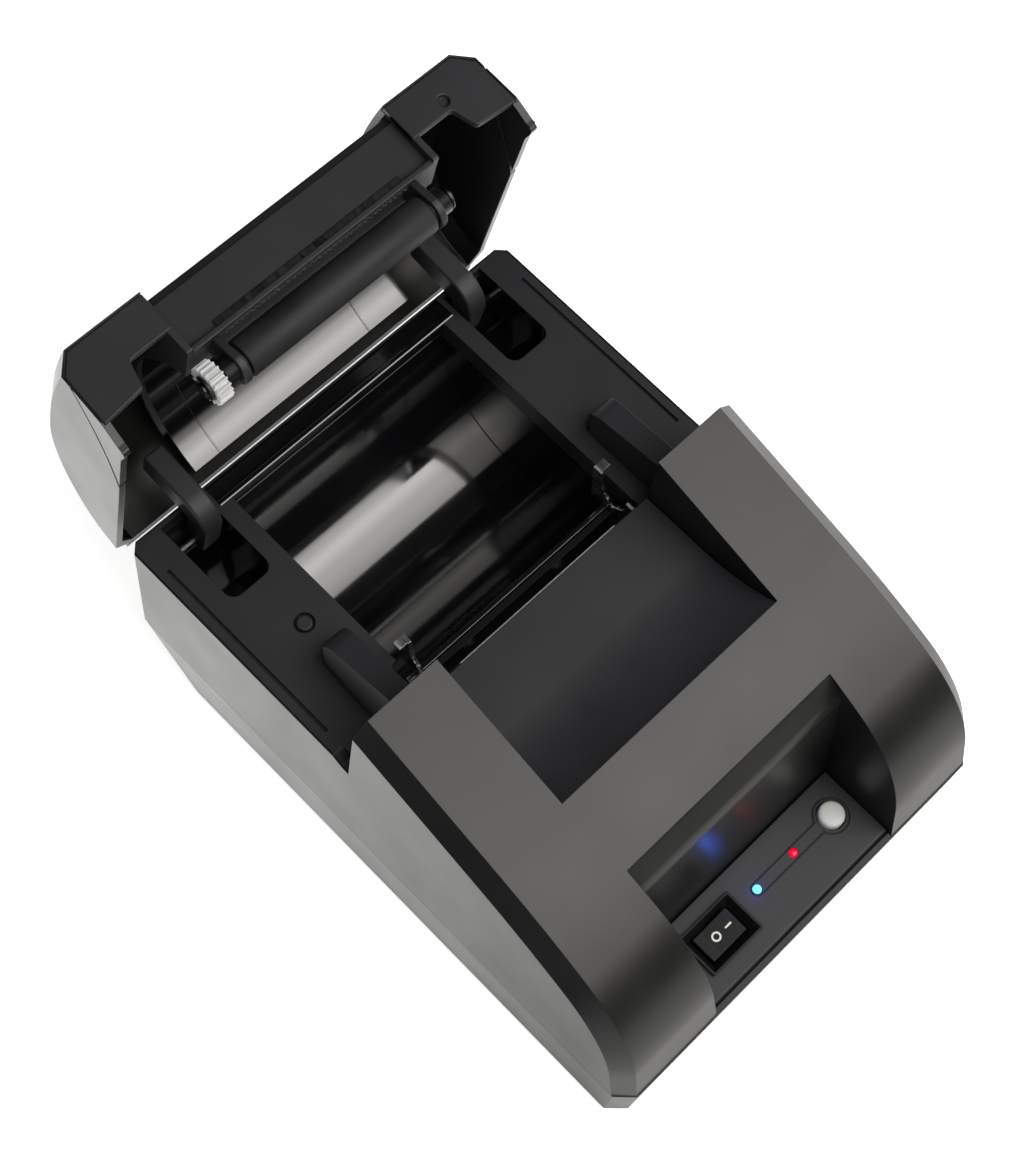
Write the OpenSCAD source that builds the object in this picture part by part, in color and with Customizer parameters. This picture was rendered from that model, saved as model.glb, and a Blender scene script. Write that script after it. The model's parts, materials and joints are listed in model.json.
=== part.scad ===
// Desktop receipt printer for 58 mm thermal rolls, drawn with its lid thrown open.
// Frame: +X to the right seen from the front, +Y to the rear, +Z up, origin on the table.

/* [Body] */
// Width of the body at its seam
body_w = 133; // [120:1:150]
// Front face of the body
front_y = -95; // [-105:1:-90]
// Rear face of the body
rear_y = 85; // [80:1:90]
// Height of the seam between the tray and the upper case
seam_z = 21; // [18:1:26]
// Height of the deck beside the paper bay
deck_z = 58; // [50:1:66]
// Rear edge of the front shell
split_y = 5.5; // [2:0.5:10]
// Height of the front shell at that edge
shell_z = 84.4; // [78:0.2:90]
// Wall thickness of the mouldings
wall = 2.2; // [1.6:0.1:3]
// Width of the bevel along the body edges
bevel = 4.4; // [2:0.2:7]
// Lean of the side walls
draft = 2.4; // [0:0.2:4]

/* [Lid] */
// Height of the hinge axis
hinge_z = 48; // [44:0.5:52]
// Distance of the hinge axis from the front of the body
hinge_back = 174.5; // [170:0.5:178]
// Angle the lid is thrown open
open_angle = 81.3; // [0:0.1:86]
// Height of the closed lid
lid_z = 89; // [85:0.5:95]

/* [Paper bay] */
// Width of the bay for the paper roll
bay_w = 74; // [62:1:80]
// Radius of the curved bay
bay_r = 31.5; // [28:0.5:34]
// Distance of the roll centre from the front of the body
roll_back = 141.5; // [136:0.5:146]
// Height of the roll centre
roll_z = 51; // [48:0.5:54]

/* [Platen and drive] */
// Diameter of the platen rubber
platen_d = 10; // [8:0.5:14]
// Length of the platen rubber
platen_len = 58; // [48:1:60]
// Distance of the platen axis from the front of the body, lid closed
platen_back = 107; // [104:0.5:110]
// Height of the platen axis, lid closed
platen_z = 59.3; // [56:0.1:62]
// Size of one gear tooth
gear_module = 0.5; // [0.4:0.05:0.6]

/* [Controls] */
// Width of the control recess
recess_w = 66.4; // [60:0.2:72]
// Height of the control panel face
panel_z = 22.5; // [21.5:0.1:26]
// Diameter of the feed button
button_d = 7.2; // [5:0.1:10]
// Tilt of the power rocker
rocker_tilt = 8; // [4:1:12]

/* [Hidden] */

eps = 0.01;
far = 400;
gap = 0.05;
round_fn = 64;
fine_fn = 96;

foot_h = 1.5;
tray_wall = 2;
floor_z = foot_h + tray_wall;
half_w = body_w / 2;
draft_slope = tan(draft);
hinge_y = front_y + hinge_back;
roll_y = front_y + roll_back;
platen_y = front_y + platen_back;
bay_half = bay_w / 2;
tub_wall = 1.5;
deck_t = 1.8;
rim = 0.5;
inlay_half = 37.4;

// ---------- colours ----------

c_case = [0.16, 0.16, 0.16];
c_dark = [0.09, 0.09, 0.1];
c_gloss = [0.05, 0.05, 0.06];
c_steel = [0.75, 0.76, 0.78];
c_white = [0.93, 0.93, 0.92];
c_board = [0.1, 0.32, 0.2];
c_rubber = [0.07, 0.07, 0.07];

// ---------- helpers ----------

function half_at(z) = half_w - (z - seam_z) * draft_slope;

// Points of an arc that a path follows, slopes given in degrees.
function arc(cy, cz, r, from, to, steps) =
    [for (i = [0:steps]) let (a = from + (to - from) * i / steps) [cy + r * cos(a), cz + r * sin(a)]];

module both_sides() {
    children();
    mirror([1, 0, 0]) children();
}

// Extrudes a drawing in (y, z) from x0 to x1.
module across(x0, x1) {
    translate([x0, 0, 0]) rotate([90, 0, 90]) linear_extrude(x1 - x0) children();
}

// Extrudes a drawing in (x, z) from y0 to y1.
module along(y0, y1) {
    translate([0, y1, 0]) rotate([90, 0, 0]) linear_extrude(y1 - y0) children();
}

module box(low, high) {
    translate(low) cube(high - low);
}

module rod_x(r, x0, x1, y, z, fn = round_fn) {
    translate([x0, y, z]) rotate([0, 90, 0]) cylinder(r = r, h = x1 - x0, $fn = fn);
}

module rod_y(r, y0, y1, x, z, fn = round_fn) {
    translate([x, y0, z]) rotate([-90, 0, 0]) cylinder(r = r, h = y1 - y0, $fn = fn);
}

module rod_z(r, z0, z1, x, y, fn = round_fn) {
    translate([x, y, z0]) cylinder(r = r, h = z1 - z0, $fn = fn);
}

// Carries closed-lid geometry to the open lid.
module on_lid() {
    translate([0, hinge_y, hinge_z]) rotate([-open_angle, 0, 0]) translate([0, -hinge_y, -hinge_z])
        children();
}

// Removes the bevel between the side walls and one straight run of the crown, a to b in (y, z).
module bevel_cut(a, b, inset) {
    dy = b[0] - a[0];
    dz = b[1] - a[1];
    run = norm([dy, dz]);
    xa = half_at(a[1]) - bevel - inset * (sqrt(2) - 1);
    xb = half_at(b[1]) - bevel - inset * (sqrt(2) - 1);
    both_sides()
        translate([xa, a[0], a[1]])
        rotate([atan2(dz, dy), 0, 0])
        rotate([0, 0, -atan2(xb - xa, run)])
        rotate([0, 45, 0])
        translate([-far / 2, -far / 2, 0])
        cube([far, far, far / 2]);
}

// A body with drafted sides and a bevelled crown. The crown runs from front to rear.
module crowned_solid(outline, crown, inset) {
    difference() {
        intersection() {
            across(-half_w, half_w) polygon(outline);
            along(-far / 2, far / 2) polygon([
                [-half_at(0) + inset, 0], [half_at(0) - inset, 0],
                [half_at(lid_z + 20) - inset, lid_z + 20], [-half_at(lid_z + 20) + inset, lid_z + 20]]);
        }
        for (i = [0:len(crown) - 2]) bevel_cut(crown[i], crown[i + 1], inset);
    }
}

// ---------- front shell outline ----------

top_slope = 16;
knee_slope = 26;
nose_slope = 76;
knee_start_y = -38;
knee_r = 196;
nose_r = 41;
knee_start_z = shell_z - (split_y - knee_start_y) * tan(top_slope);
knee_cy = knee_start_y + knee_r * sin(top_slope);
knee_cz = knee_start_z - knee_r * cos(top_slope);
nose_cy = knee_cy - (knee_r - nose_r) * sin(knee_slope);
nose_cz = knee_cz + (knee_r - nose_r) * cos(knee_slope);
nose_end_y = nose_cy - nose_r * sin(nose_slope);
nose_end_z = nose_cz + nose_r * cos(nose_slope);

function shell_crown(inset) = concat(
    [[nose_end_y - (nose_end_z - seam_z) / tan(nose_slope) + inset, seam_z]],
    arc(nose_cy, nose_cz, nose_r - inset, 90 + nose_slope, 90 + knee_slope, 6),
    arc(knee_cy, knee_cz, knee_r - inset, 90 + (knee_slope + top_slope) / 2, 90 + top_slope, 1),
    [[split_y, shell_z - inset / cos(top_slope)]]);

// Height of the shell crown on its straight run.
function crown_z(y) = shell_z - (split_y - y) * tan(top_slope);

// ---------- control recess ----------

recess_back_y = front_y + 24.1;
recess_top_y = front_y + 33.7;
recess_top_z = 62.7;
recess_half = recess_w / 2;

// Room of the control recess in (y, z), grown by a margin for the walls behind it.
module recess_outline(grow) {
    polygon([[front_y - 5, panel_z - grow], [recess_back_y + grow, panel_z - grow],
             [recess_back_y + 1 + grow, 50], [recess_back_y + 4.5 + grow, 58],
             [recess_top_y + grow, recess_top_z], [recess_top_y + 3 + grow, recess_top_z + 12],
             [front_y - 5, recess_top_z + 12]]);
}

// ---------- head cover ----------

cover_z = 64.7;
cover_flat_y = -14;
cover_front_y = -37.3;
cover_front_z = crown_z(cover_front_y) - 0.3;
cover_t = 2;
cover_sag = cover_front_z - cover_z;
cover_run = cover_flat_y - cover_front_y;
cover_r = (cover_run * cover_run + cover_sag * cover_sag) / (2 * cover_sag);
cover_sweep = asin(cover_run / cover_r);
ledge_drop = 2;
ledge_w = 2;

function reversed(path) = [for (i = [len(path) - 1:-1:0]) path[i]];

// Top line of the head cover in (y, z): flat at the rear, then curving up to the shell.
function cover_line(drop) = concat(
    [[split_y, cover_z - drop]],
    arc(cover_flat_y, cover_z + cover_r, cover_r + drop, -90, -90 - cover_sweep, 6));

// ---------- case ----------

rear_bevel = 4;

module rear_corners(grow) {
    both_sides()
        translate([half_w - rear_bevel + grow, rear_y, 0]) rotate([0, 0, 45])
        translate([0, -far / 2, -1]) cube([far, far, far]);
}

module shell_solid(inset) {
    outline = concat(shell_crown(inset),
        [[split_y, deck_z + far * (inset > 0 ? 1 : 0)],
         [rear_y - inset, deck_z + far * (inset > 0 ? 1 : 0)],
         [rear_y - inset, seam_z - (inset > 0 ? 1 : 0)],
         [front_y + inset, seam_z - (inset > 0 ? 1 : 0)]]);
    crowned_solid(outline, shell_crown(inset), inset);
}

pocket_in = 42;
pocket_out = 55.5;
pocket_front = 56.9;
pocket_rear = 83.8;
pocket_floor = 39;
pocket_wall = 1.5;
pin_r = 1.5;

module upper_case() {
    color(c_case)
    difference() {
        union() {
            difference() {
                shell_solid(0);
                difference() {
                    shell_solid(wall);
                    across(-recess_half - wall, recess_half + wall) recess_outline(wall);
                }
                rear_corners(0);
            }
            intersection() {
                difference() {
                    shell_solid(0);
                    rear_corners(0);
                }
                rear_corners(-wall * 1.3);
            }
            cover_cheeks();
        }
        across(-recess_half, recess_half) recess_outline(0);
        box([-recess_half, front_y - 5, seam_z - 1], [recess_half, recess_back_y, panel_z + 1]);
        intersection() {
            across(-inlay_half, inlay_half) polygon(concat(cover_line(cover_t),
                [[cover_front_y - 2, shell_z + 20], [split_y + 5, shell_z + 20]]));
            box([-inlay_half, cover_front_y, 0], [inlay_half, split_y + 5, far]);
        }
        both_sides() box([pocket_in - 2, rear_y - 4, pocket_floor - 2], [pocket_out + 2, pocket_rear, far]);
        // rabbet that takes the deck frame
        intersection() {
            along(split_y - 4, rear_y - rim)
                polygon([[-half_at(deck_z) + rim, deck_z - deck_t], [half_at(deck_z) - rim, deck_z - deck_t],
                         [half_at(deck_z) - rim, deck_z + far], [-half_at(deck_z) + rim, deck_z + far]]);
            difference() {
                box([-far, split_y, 0], [far, far, far]);
                rear_corners(-rim * 1.4);
            }
        }
        finger_notches(half_w - 4);
        rear_edge_ease();
    }
}

// Notches where deck, side wall and front shell meet.
module finger_notches(x) {
    both_sides() across(x, half_w + 1)
        polygon([[split_y, deck_z - 4], [split_y + 6, deck_z + eps],
                 [split_y + 6, deck_z + 1], [split_y, deck_z + 1]]);
}

// Eases the rear edge so that the lid rim swings past it.
module rear_edge_ease() {
    ease = 1.6;
    translate([0, rear_y, deck_z]) rotate([45, 0, 0])
        translate([-far / 2, -ease / 2, -ease / 2]) cube([far, ease, ease]);
}

// Walls beside the head cover and the ledges that carry it.
module cover_cheeks() {
    intersection() {
        shell_solid(0);
        both_sides() {
            across(inlay_half, inlay_half + wall)
                polygon(concat(cover_line(cover_t + ledge_drop),
                               [[knee_start_y, shell_z + 5], [split_y, shell_z + 5]]));
            across(inlay_half - ledge_w, inlay_half + eps)
                polygon(concat(cover_line(cover_t + gap), reversed(cover_line(cover_t + ledge_drop))));
        }
    }
    intersection() {
        shell_solid(0);
        box([-inlay_half - wall, cover_front_y - wall, cover_front_z - 5],
            [inlay_half + wall, cover_front_y, far]);
    }
}

module head_cover() {
    color(c_dark)
    difference() {
        across(-inlay_half + 0.15, inlay_half - 0.15)
            polygon(concat(cover_line(0), reversed(cover_line(cover_t))));
        box([-inlay_half, cover_front_y - wall, 0], [inlay_half, cover_front_y + gap, far]);
    }
}

port_wall_y = 66;
port_half = 34;
port_roof_z = 19;
slope_rear = 84.5;

screw_x = 52;
screw_front_y = -74;
screw_rear_y = 58;
function case_screw_spots() = [[-screw_x, screw_front_y], [screw_x, screw_front_y],
                               [-screw_x, screw_rear_y], [screw_x, screw_rear_y]];

function board_screw_spots() = [[-44, -52], [44, -52], [-44, 50], [44, 50]];

board_z = 5.2;
board_t = 1.6;

vent_pitch = 9;
vent_half = 1.2;
vent_front_y = -40;
vent_rear_y = -16;
case_boss_r = 4;
board_boss_r = 3;
case_screw_r = 1.5;
board_screw_r = 1.25;

module tray_outline(inset) {
    polygon([[front_y + 0.4 + inset, foot_h + inset], [port_wall_y - inset * 0.4, foot_h + inset],
             [slope_rear - inset * 1.3, seam_z], [slope_rear - inset * 1.3, seam_z + (inset > 0 ? 1 : 0)],
             [front_y + inset, seam_z + (inset > 0 ? 1 : 0)], [front_y + inset, seam_z]]);
}

module tray_plan(inset) {
    along(-far / 2, far / 2) polygon([
        [-half_w + 0.5 + inset, foot_h - 1], [half_w - 0.5 - inset, foot_h - 1],
        [half_w - inset, seam_z + 2], [-half_w + inset, seam_z + 2]]);
}

module tray_corners(grow) {
    rear_corners(grow);
    both_sides()
        translate([half_w - bevel + grow, front_y, 0]) rotate([0, 0, -45])
        translate([0, -far / 2, -1]) cube([far, far, far]);
}

// Outer block of the tray (inset 0) or the room inside it.
module tray_solid(inset) {
    difference() {
        intersection() {
            across(-half_w, half_w) tray_outline(inset);
            tray_plan(inset);
        }
        tray_corners(-inset * 0.42);
    }
}

module port_recess(grow) {
    box([-port_half - grow, port_wall_y - grow, -5], [port_half + grow, far, port_roof_z + grow]);
}

module base_tray() {
    color(c_case)
    difference() {
        union() {
            difference() {
                tray_solid(0);
                difference() {
                    tray_solid(tray_wall);
                    port_recess(tray_wall);
                }
                port_recess(0);
            }
            for (p = case_screw_spots()) rod_z(case_boss_r, foot_h + 0.5, seam_z - 1, p[0], p[1]);
            for (p = board_screw_spots()) rod_z(board_boss_r, floor_z - 0.5, board_z, p[0], p[1]);
        }
        for (p = case_screw_spots()) {
            rod_z(case_screw_r + 0.1, -1, far, p[0], p[1]);
            rod_z(2 * case_screw_r + 0.2, -1, foot_h + 2.5, p[0], p[1]);
        }
        for (p = board_screw_spots()) rod_z(board_screw_r + eps, floor_z - 0.4, board_z + 1, p[0], p[1]);
        for (p = foot_spots()) rod_z(foot_r + 0.02, -1, foot_h + 0.6, p[0], p[1]);
        port_holes();
        // slots that let air through the floor
        for (i = [-3:3]) box([i * vent_pitch - vent_half, vent_front_y, -1],
                             [i * vent_pitch + vent_half, vent_rear_y, floor_z + 1]);
    }
}

foot_r = 6;
function foot_spots() = [[-54, -84], [54, -84], [-54, 44], [54, 44]];

module rubber_feet() {
    color(c_rubber) for (p = foot_spots()) {
        rod_z(foot_r, 0.4, foot_h + 0.6, p[0], p[1]);
        translate([p[0], p[1], 0]) cylinder(r1 = foot_r - 0.4, r2 = foot_r, h = 0.4 + eps, $fn = round_fn);
    }
}

module case_screws() {
    color(c_steel) for (p = case_screw_spots()) screw(p[0], p[1], foot_h + 0.7, 16, case_screw_r, 2.8, 1.8);
}

module board_screws() {
    color(c_steel) for (p = board_screw_spots())
        mirror([0, 0, 1]) screw(p[0], p[1], -(board_z + board_t + 1.6), 4.4, board_screw_r, 2.4, 1.6);
}

// A pan-head screw standing on its head, with a cross recess.
module screw(x, y, z, length, r, head_r, head_h) {
    translate([x, y, z]) difference() {
        union() {
            cylinder(r = head_r, h = head_h, $fn = 32);
            cylinder(r = r, h = length, $fn = 32);
        }
        for (a = [0, 90]) rotate([0, 0, a]) translate([-head_r * 0.6, -0.3, -1])
            cube([head_r * 1.2, 0.6, 1.8]);
    }
}

// ---------- deck ----------

ramp_in = 42;
ramp_out = 51;
ramp_nose_y = 32.6;
ramp_crown_y = 30;
ramp_z = 68;
ramp_lean = 2.4;
ramp_nose_r = 3;
groove_x = 61.7;

module ramp() {
    intersection() {
        along(split_y - 3, ramp_nose_y)
            polygon([[ramp_in, deck_z - 1], [ramp_out, deck_z - 1],
                     [ramp_out - ramp_lean, lid_z], [ramp_in + ramp_lean, lid_z]]);
        across(ramp_in - 1, ramp_out + 1)
            polygon([[split_y - 3, deck_z - 1], [ramp_nose_y, deck_z - 1],
                     [ramp_nose_y - 0.6, ramp_z - 5], [ramp_crown_y + 0.9, ramp_z - 1.3],
                     [ramp_crown_y - 1, ramp_z], [split_y - 3, ramp_z + 4]]);
        linear_extrude(far) {
            for (x = [ramp_in + ramp_nose_r, ramp_out - ramp_nose_r])
                translate([x, ramp_nose_y - ramp_nose_r]) circle(ramp_nose_r, $fn = 32);
            translate([ramp_in + ramp_nose_r, ramp_nose_y - 2 * ramp_nose_r])
                square([ramp_out - ramp_in - 2 * ramp_nose_r, 2 * ramp_nose_r]);
            translate([ramp_in, split_y - 4])
                square([ramp_out - ramp_in, ramp_nose_y - ramp_nose_r - split_y + 4]);
        }
    }
}

plunger_x = -46.6;
plunger_y = 40.9;
plunger_r = 2;
plunger_ring_r = 2.75;
plunger_flange = 0.6;
plunger_low_z = deck_z - 9;
plunger_proud = 0.2;
lid_switch_h = 7;
lid_switch_top_z = deck_z - 11;

module deck_plate() {
    difference() {
        along(split_y, rear_y - rim - gap)
            polygon([[-half_at(deck_z) + rim + gap, deck_z - deck_t + eps],
                     [half_at(deck_z) - rim - gap, deck_z - deck_t + eps],
                     [half_at(deck_z) - rim - gap, deck_z], [-half_at(deck_z) + rim + gap, deck_z]]);
        rear_corners(-rim * 1.4 - gap);
        rear_edge_ease();
        box([-bay_half - tub_wall - gap, split_y - 1, 0],
            [bay_half + tub_wall + gap, roll_y + bay_r + tub_wall + gap, far]);
        finger_notches(half_w - 5);
        both_sides() groove();
        // room for the platen gear
        box([-ramp_in, split_y - 1, 0], [-bay_half, platen_y + 6.5, far]);
    }
}

module groove() {
    box([groove_x - 0.4, split_y + 11, deck_z - 0.6], [groove_x + 0.4, 74, deck_z + 1]);
}

module deck_frame() {
    color(c_dark)
    difference() {
        union() {
            deck_plate();
            both_sides() {
                ramp();
                box([pocket_in - pocket_wall, pocket_front - pocket_wall, pocket_floor - pocket_wall],
                    [pocket_out + pocket_wall, pocket_rear - gap, deck_z - deck_t + 0.1]);
                bulkhead();
            }
            rod_z(4, deck_z - 8, deck_z - 1, plunger_x, plunger_y);
        }
        both_sides() {
            box([pocket_in, pocket_front, pocket_floor], [pocket_out, pocket_rear - 0.4, deck_z + 1]);
            rod_x(pin_r + 0.02, pocket_in - 5, pocket_out + 5, hinge_y, hinge_z);
            hollow_ramp();
        }
        rod_z(plunger_r + gap, 0, far, plunger_x, plunger_y);
        rod_z(plunger_ring_r, deck_z - 0.5, far, plunger_x, plunger_y);
    }
}

// Wall that closes the wing of the front shell, behind its rear edge.
module bulkhead() {
    intersection() {
        along(split_y - 3, split_y - 1)
            polygon([[inlay_half + wall + gap, deck_z - deck_t + eps],
                     [half_at(deck_z) - wall - gap, deck_z - deck_t + eps],
                     [half_at(shell_z) - wall - gap, shell_z], [inlay_half + wall + gap, shell_z]]);
        shell_solid(wall + gap);
    }
    along(split_y - 1 - eps, split_y + eps)
        polygon([[ramp_in, deck_z - deck_t + eps], [ramp_out, deck_z - deck_t + eps],
                 [ramp_out, deck_z], [ramp_in, deck_z]]);
}

module hollow_ramp() {
    box([ramp_in + 2, split_y - 4, deck_z - 2], [ramp_out - 2, ramp_nose_y - 5, deck_z + 7]);
}

module lid_sensor_plunger() {
    color(c_dark) {
        rod_z(plunger_r, plunger_low_z, deck_z + plunger_proud, plunger_x, plunger_y);
        rod_z(plunger_r + plunger_flange, plunger_low_z, plunger_low_z + 0.9, plunger_x, plunger_y);
    }
}

module lid_sensor_switch() {
    color(c_gloss) box([plunger_x - 3.2, plunger_y - 6.5, lid_switch_top_z - lid_switch_h],
                       [plunger_x + 3.2, plunger_y + 6.5, lid_switch_top_z]);
}

// ---------- paper bay ----------

sensor_x = 24;
sensor_z = 43;
tub_notch_z = 52;
tub_notch_y = 18.6;

module bay_outline(r) {
    translate([roll_y, roll_z]) circle(r, $fn = fine_fn);
    translate([roll_y - r, roll_z]) square([2 * r, deck_z - roll_z]);
}

module paper_tub() {
    color(c_gloss)
    difference() {
        across(-bay_half - tub_wall, bay_half + tub_wall) intersection() {
            bay_outline(bay_r + tub_wall);
            translate([0, -far + deck_z]) square([far, far]);
        }
        across(-bay_half, bay_half) bay_outline(bay_r);
        across(-bay_half, bay_half) translate([roll_y - bay_r, roll_z]) square([2 * bay_r, far]);
        box([-bay_half - 5, 0, tub_notch_z], [bay_half, tub_notch_y, far]);
        rod_y(2.6, 0, 30, sensor_x, sensor_z, 32);
        rod_x(pitch_r(rear_teeth) + gear_module + 0.3, gear_x0 - 0.3, gear_x1 + 0.3, rear_at[0], rear_at[1]);
    }
}

// ---------- lid ----------

lid_gap = 0.4;
lid_front_y = split_y + lid_gap;
rim_z = 59;
crest_y = 46.5;
crest_slope = 13;
crest_r = (crest_y - lid_front_y) / sin(crest_slope);
brow_r = 45;
brow_slope = 45;
tail_r = 22;
tail_slope = 80;
brow_cz = lid_z - brow_r;
tail_cy = crest_y + (brow_r - tail_r) * sin(brow_slope);
tail_cz = brow_cz + (brow_r - tail_r) * cos(brow_slope);
tail_end_y = tail_cy + tail_r * sin(tail_slope);
tail_end_z = tail_cz + tail_r * cos(tail_slope);

function lid_crown(inset) = concat(
    arc(crest_y, lid_z - crest_r, crest_r - inset, 90 + crest_slope, 90, 2),
    arc(crest_y, brow_cz, brow_r - inset, 90 - 9, 90 - brow_slope, 4),
    arc(tail_cy, tail_cz, tail_r - inset, 90 - brow_slope - 9, 90 - tail_slope, 3),
    [[tail_end_y + (tail_end_z - rim_z) / tan(tail_slope) - inset, rim_z]]);

module lid_solid(inset) {
    crown = lid_crown(inset);
    low = inset > 0 ? rim_z - 1 : rim_z;
    outline = concat([[lid_front_y, low], [lid_front_y, lid_crown(inset)[0][1]]], crown,
                     [[crown[len(crown) - 1][0], low]]);
    crowned_solid(outline, crown, inset);
}

lid_wall = 2;
scoop_depth = 2.4;
scoop_end_y = 34;
centre_front_y = 9;

// Shallow scoop in the middle of the lid, deepest at its front edge.
module scoop(drop) {
    across(-inlay_half, inlay_half)
        polygon([[lid_front_y - 1, shell_z - scoop_depth - drop - 0.4], [scoop_end_y, lid_z - drop - 0.3],
                 [scoop_end_y, far], [lid_front_y - 1, far]]);
}

seam_front_z = 76;
seam_end_y = 39;
seam_end_z = 60.7;
seam_r = 70;

// Curved split line on the side of the lid, drawn in (y, z) as the area below it.
module below_split(lift) {
    difference() {
        polygon([[lid_front_y - 2, rim_z - 5], [seam_end_y, rim_z - 5], [seam_end_y, seam_end_z + lift],
                 [lid_front_y - 2, seam_front_z + 1.5 + lift]]);
        translate([seam_end_y + 12.6, seam_front_z + 55.6 + lift]) circle(seam_r, $fn = fine_fn);
    }
}

module lid_cover() {
    on_lid() color(c_case)
    difference() {
        lid_solid(0);
        difference() {
            lid_solid(lid_wall);
            scoop(lid_wall);
        }
        scoop(0);
        intersection() {
            box([-far, lid_front_y - 1, 0], [far, lid_front_y + lid_wall, far]);
            lid_solid(rim);
        }
        box([-inlay_half, lid_front_y - 1, 0], [inlay_half, centre_front_y, far]);
        both_sides() across(half_w - 12, half_w + 1) below_split(0);
        box([-inlay_half - eps, lid_front_y - 1, rim_z - 2], [inlay_half, lid_front_y + 8, shell_z - 8]);
    }
}

notch_mid = 49.9;
notch_out = 51.9;
notch_z = 73.3;
wing_low_z = 66;
dimple_r = 1.5;
dimple_x = 50;
dimple_z = 76.5;

// Dark faces of the wings, cut out where the ramps pass under them.
module wing_faces() {
    intersection() {
        lid_solid(rim + gap);
        both_sides() along(lid_front_y, lid_front_y + lid_wall - gap)
            polygon([[inlay_half, notch_z], [notch_mid, notch_z], [notch_out, wing_low_z + 0.5],
                     [half_w, wing_low_z - 1], [half_w, shell_z + 5], [inlay_half, shell_z + 5]]);
    }
}

// Side strips of the frame below the split line, flush with the cover.
module side_strips() {
    intersection() {
        lid_solid(0);
        both_sides() {
            intersection() {
                along(lid_front_y, lid_front_y + 60)
                    polygon([[half_at(rim_z) - lid_wall, rim_z], [half_w, rim_z],
                             [half_w, shell_z], [half_at(shell_z) - lid_wall, shell_z]]);
                across(half_w - 12, half_w + 1) intersection() {
                    below_split(-0.12);
                    polygon([[lid_front_y, wing_low_z - 1.2], [lid_front_y + 0.8, rim_z],
                             [far, rim_z], [far, far], [lid_front_y, far]]);
                }
            }
            // rib that ties the strip to the wing face
            box([half_w - 8, lid_front_y, wing_low_z], [half_w - 3, lid_front_y + 8, 71]);
        }
    }
    both_sides() rim_tooth();
}

// Tooth at the front of the rim that drops into the finger notch.
module rim_tooth() {
    tooth_y = lid_front_y + 0.8;
    across(half_at(rim_z) - lid_wall, half_at(rim_z) - gap)
        polygon([[tooth_y, rim_z + 1], [tooth_y + 0.9, rim_z - 2.2], [tooth_y + 2, rim_z - 2],
                 [tooth_y + 5, rim_z + eps], [tooth_y + 5, rim_z + 1]]);
}

cheek_in = 38.2;
cheek_t = 1.5;
ledge_z = 66;
ledge_t = 1.6;
panel_y = 8.5;
arm_in = 43;
arm_out = 49;
arm_r = 3.8;
elbow_y = -10.5;
elbow_r = 8;
arm_rise = 20;

module arm() {
    across(arm_in, arm_out) translate([hinge_y, hinge_z]) difference() {
        union() {
            circle(arm_r, $fn = round_fn);
            translate([elbow_y, -arm_r]) square([-elbow_y, 2 * arm_r]);
            translate([elbow_y, elbow_r - arm_r]) circle(elbow_r, $fn = round_fn);
            translate([elbow_y - elbow_r, elbow_r - arm_r]) square([elbow_r, arm_rise - elbow_r + arm_r]);
        }
        translate([elbow_y, arm_r]) square([30, 30]);
    }
}

// Inner walls of the lid beside the liner, and the webs that carry the arms.
module cheeks() {
    difference() {
        intersection() {
            lid_solid(lid_wall + gap);
            both_sides() {
                box([cheek_in, lid_front_y, notch_z], [cheek_in + cheek_t, 78, far]);
                box([cheek_in, 19.5, ledge_z - 4], [cheek_in + cheek_t, 78, far]);
                box([cheek_in, hinge_y + elbow_y - elbow_r, hinge_z + arm_rise - 4],
                    [arm_out, hinge_y + elbow_y, hinge_z + arm_rise - 0.5]);
            }
        }
        scoop_margin();
    }
}

// Keeps the frame clear of the underside of the scooped cover.
module scoop_margin() {
    across(-cheek_in - cheek_t - 1, cheek_in + cheek_t + 1)
        polygon([[lid_front_y - 1, shell_z - scoop_depth - lid_wall - 0.6],
                 [scoop_end_y, lid_z - lid_wall - 0.5],
                 [scoop_end_y, far], [lid_front_y - 1, far]]);
}

bracket_in = 29.8;
bracket_out = 31.8;
bushing_r = 3.5;

module bracket() {
    difference() {
        union() {
            rod_x(bushing_r + 1.6, bracket_in, bracket_out, platen_y, platen_z);
            box([bracket_in, platen_y - 3.4, platen_z], [bracket_out, platen_y + 5.1, ledge_z + 0.5]);
        }
        rod_x(bushing_r + gap, bracket_in - 1, bracket_out + 1, platen_y, platen_z);
    }
}

module lid_frame() {
    on_lid() color(c_dark)
    difference() {
        union() {
            wing_faces();
            side_strips();
            cheeks();
            both_sides() {
                arm();
                bracket();
            }
            box([-cheek_in - cheek_t, panel_y, ledge_z], [cheek_in + cheek_t, panel_y + 1.8, shell_z - 4.2]);
            box([-cheek_in - cheek_t, panel_y, ledge_z], [cheek_in + cheek_t, 20.6, ledge_z + ledge_t]);
            both_sides() box([inlay_half, lid_front_y, notch_z],
                             [cheek_in + cheek_t, panel_y + 1, shell_z - 5.4]);
        }
        both_sides() rod_x(pin_r + gap, arm_in - 1, arm_out + 1, hinge_y, hinge_z);
        rod_y(dimple_r, lid_front_y - 1, lid_front_y + lid_wall + 1, dimple_x, dimple_z);
        // room for the latch plates
        both_sides() box([plate_in - 0.4, 0, 0], [plate_out + 1.4, 22, ledge_z + eps]);
    }
}

liner_t = 1.5;
liner_front_z = 68.2;

module lid_liner() {
    on_lid() color(c_gloss)
    across(-cheek_in + gap, cheek_in - gap) difference() {
        translate([roll_y, roll_z]) circle(bay_r + liner_t, $fn = fine_fn);
        translate([roll_y, roll_z]) circle(bay_r, $fn = fine_fn);
        translate([-far, -far]) square([far + roll_y, far + liner_front_z]);
        translate([roll_y, -far]) square([far, far + rim_z + 1]);
    }
}

tooth_pitch = 1.6;
tooth_count = 36;

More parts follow.
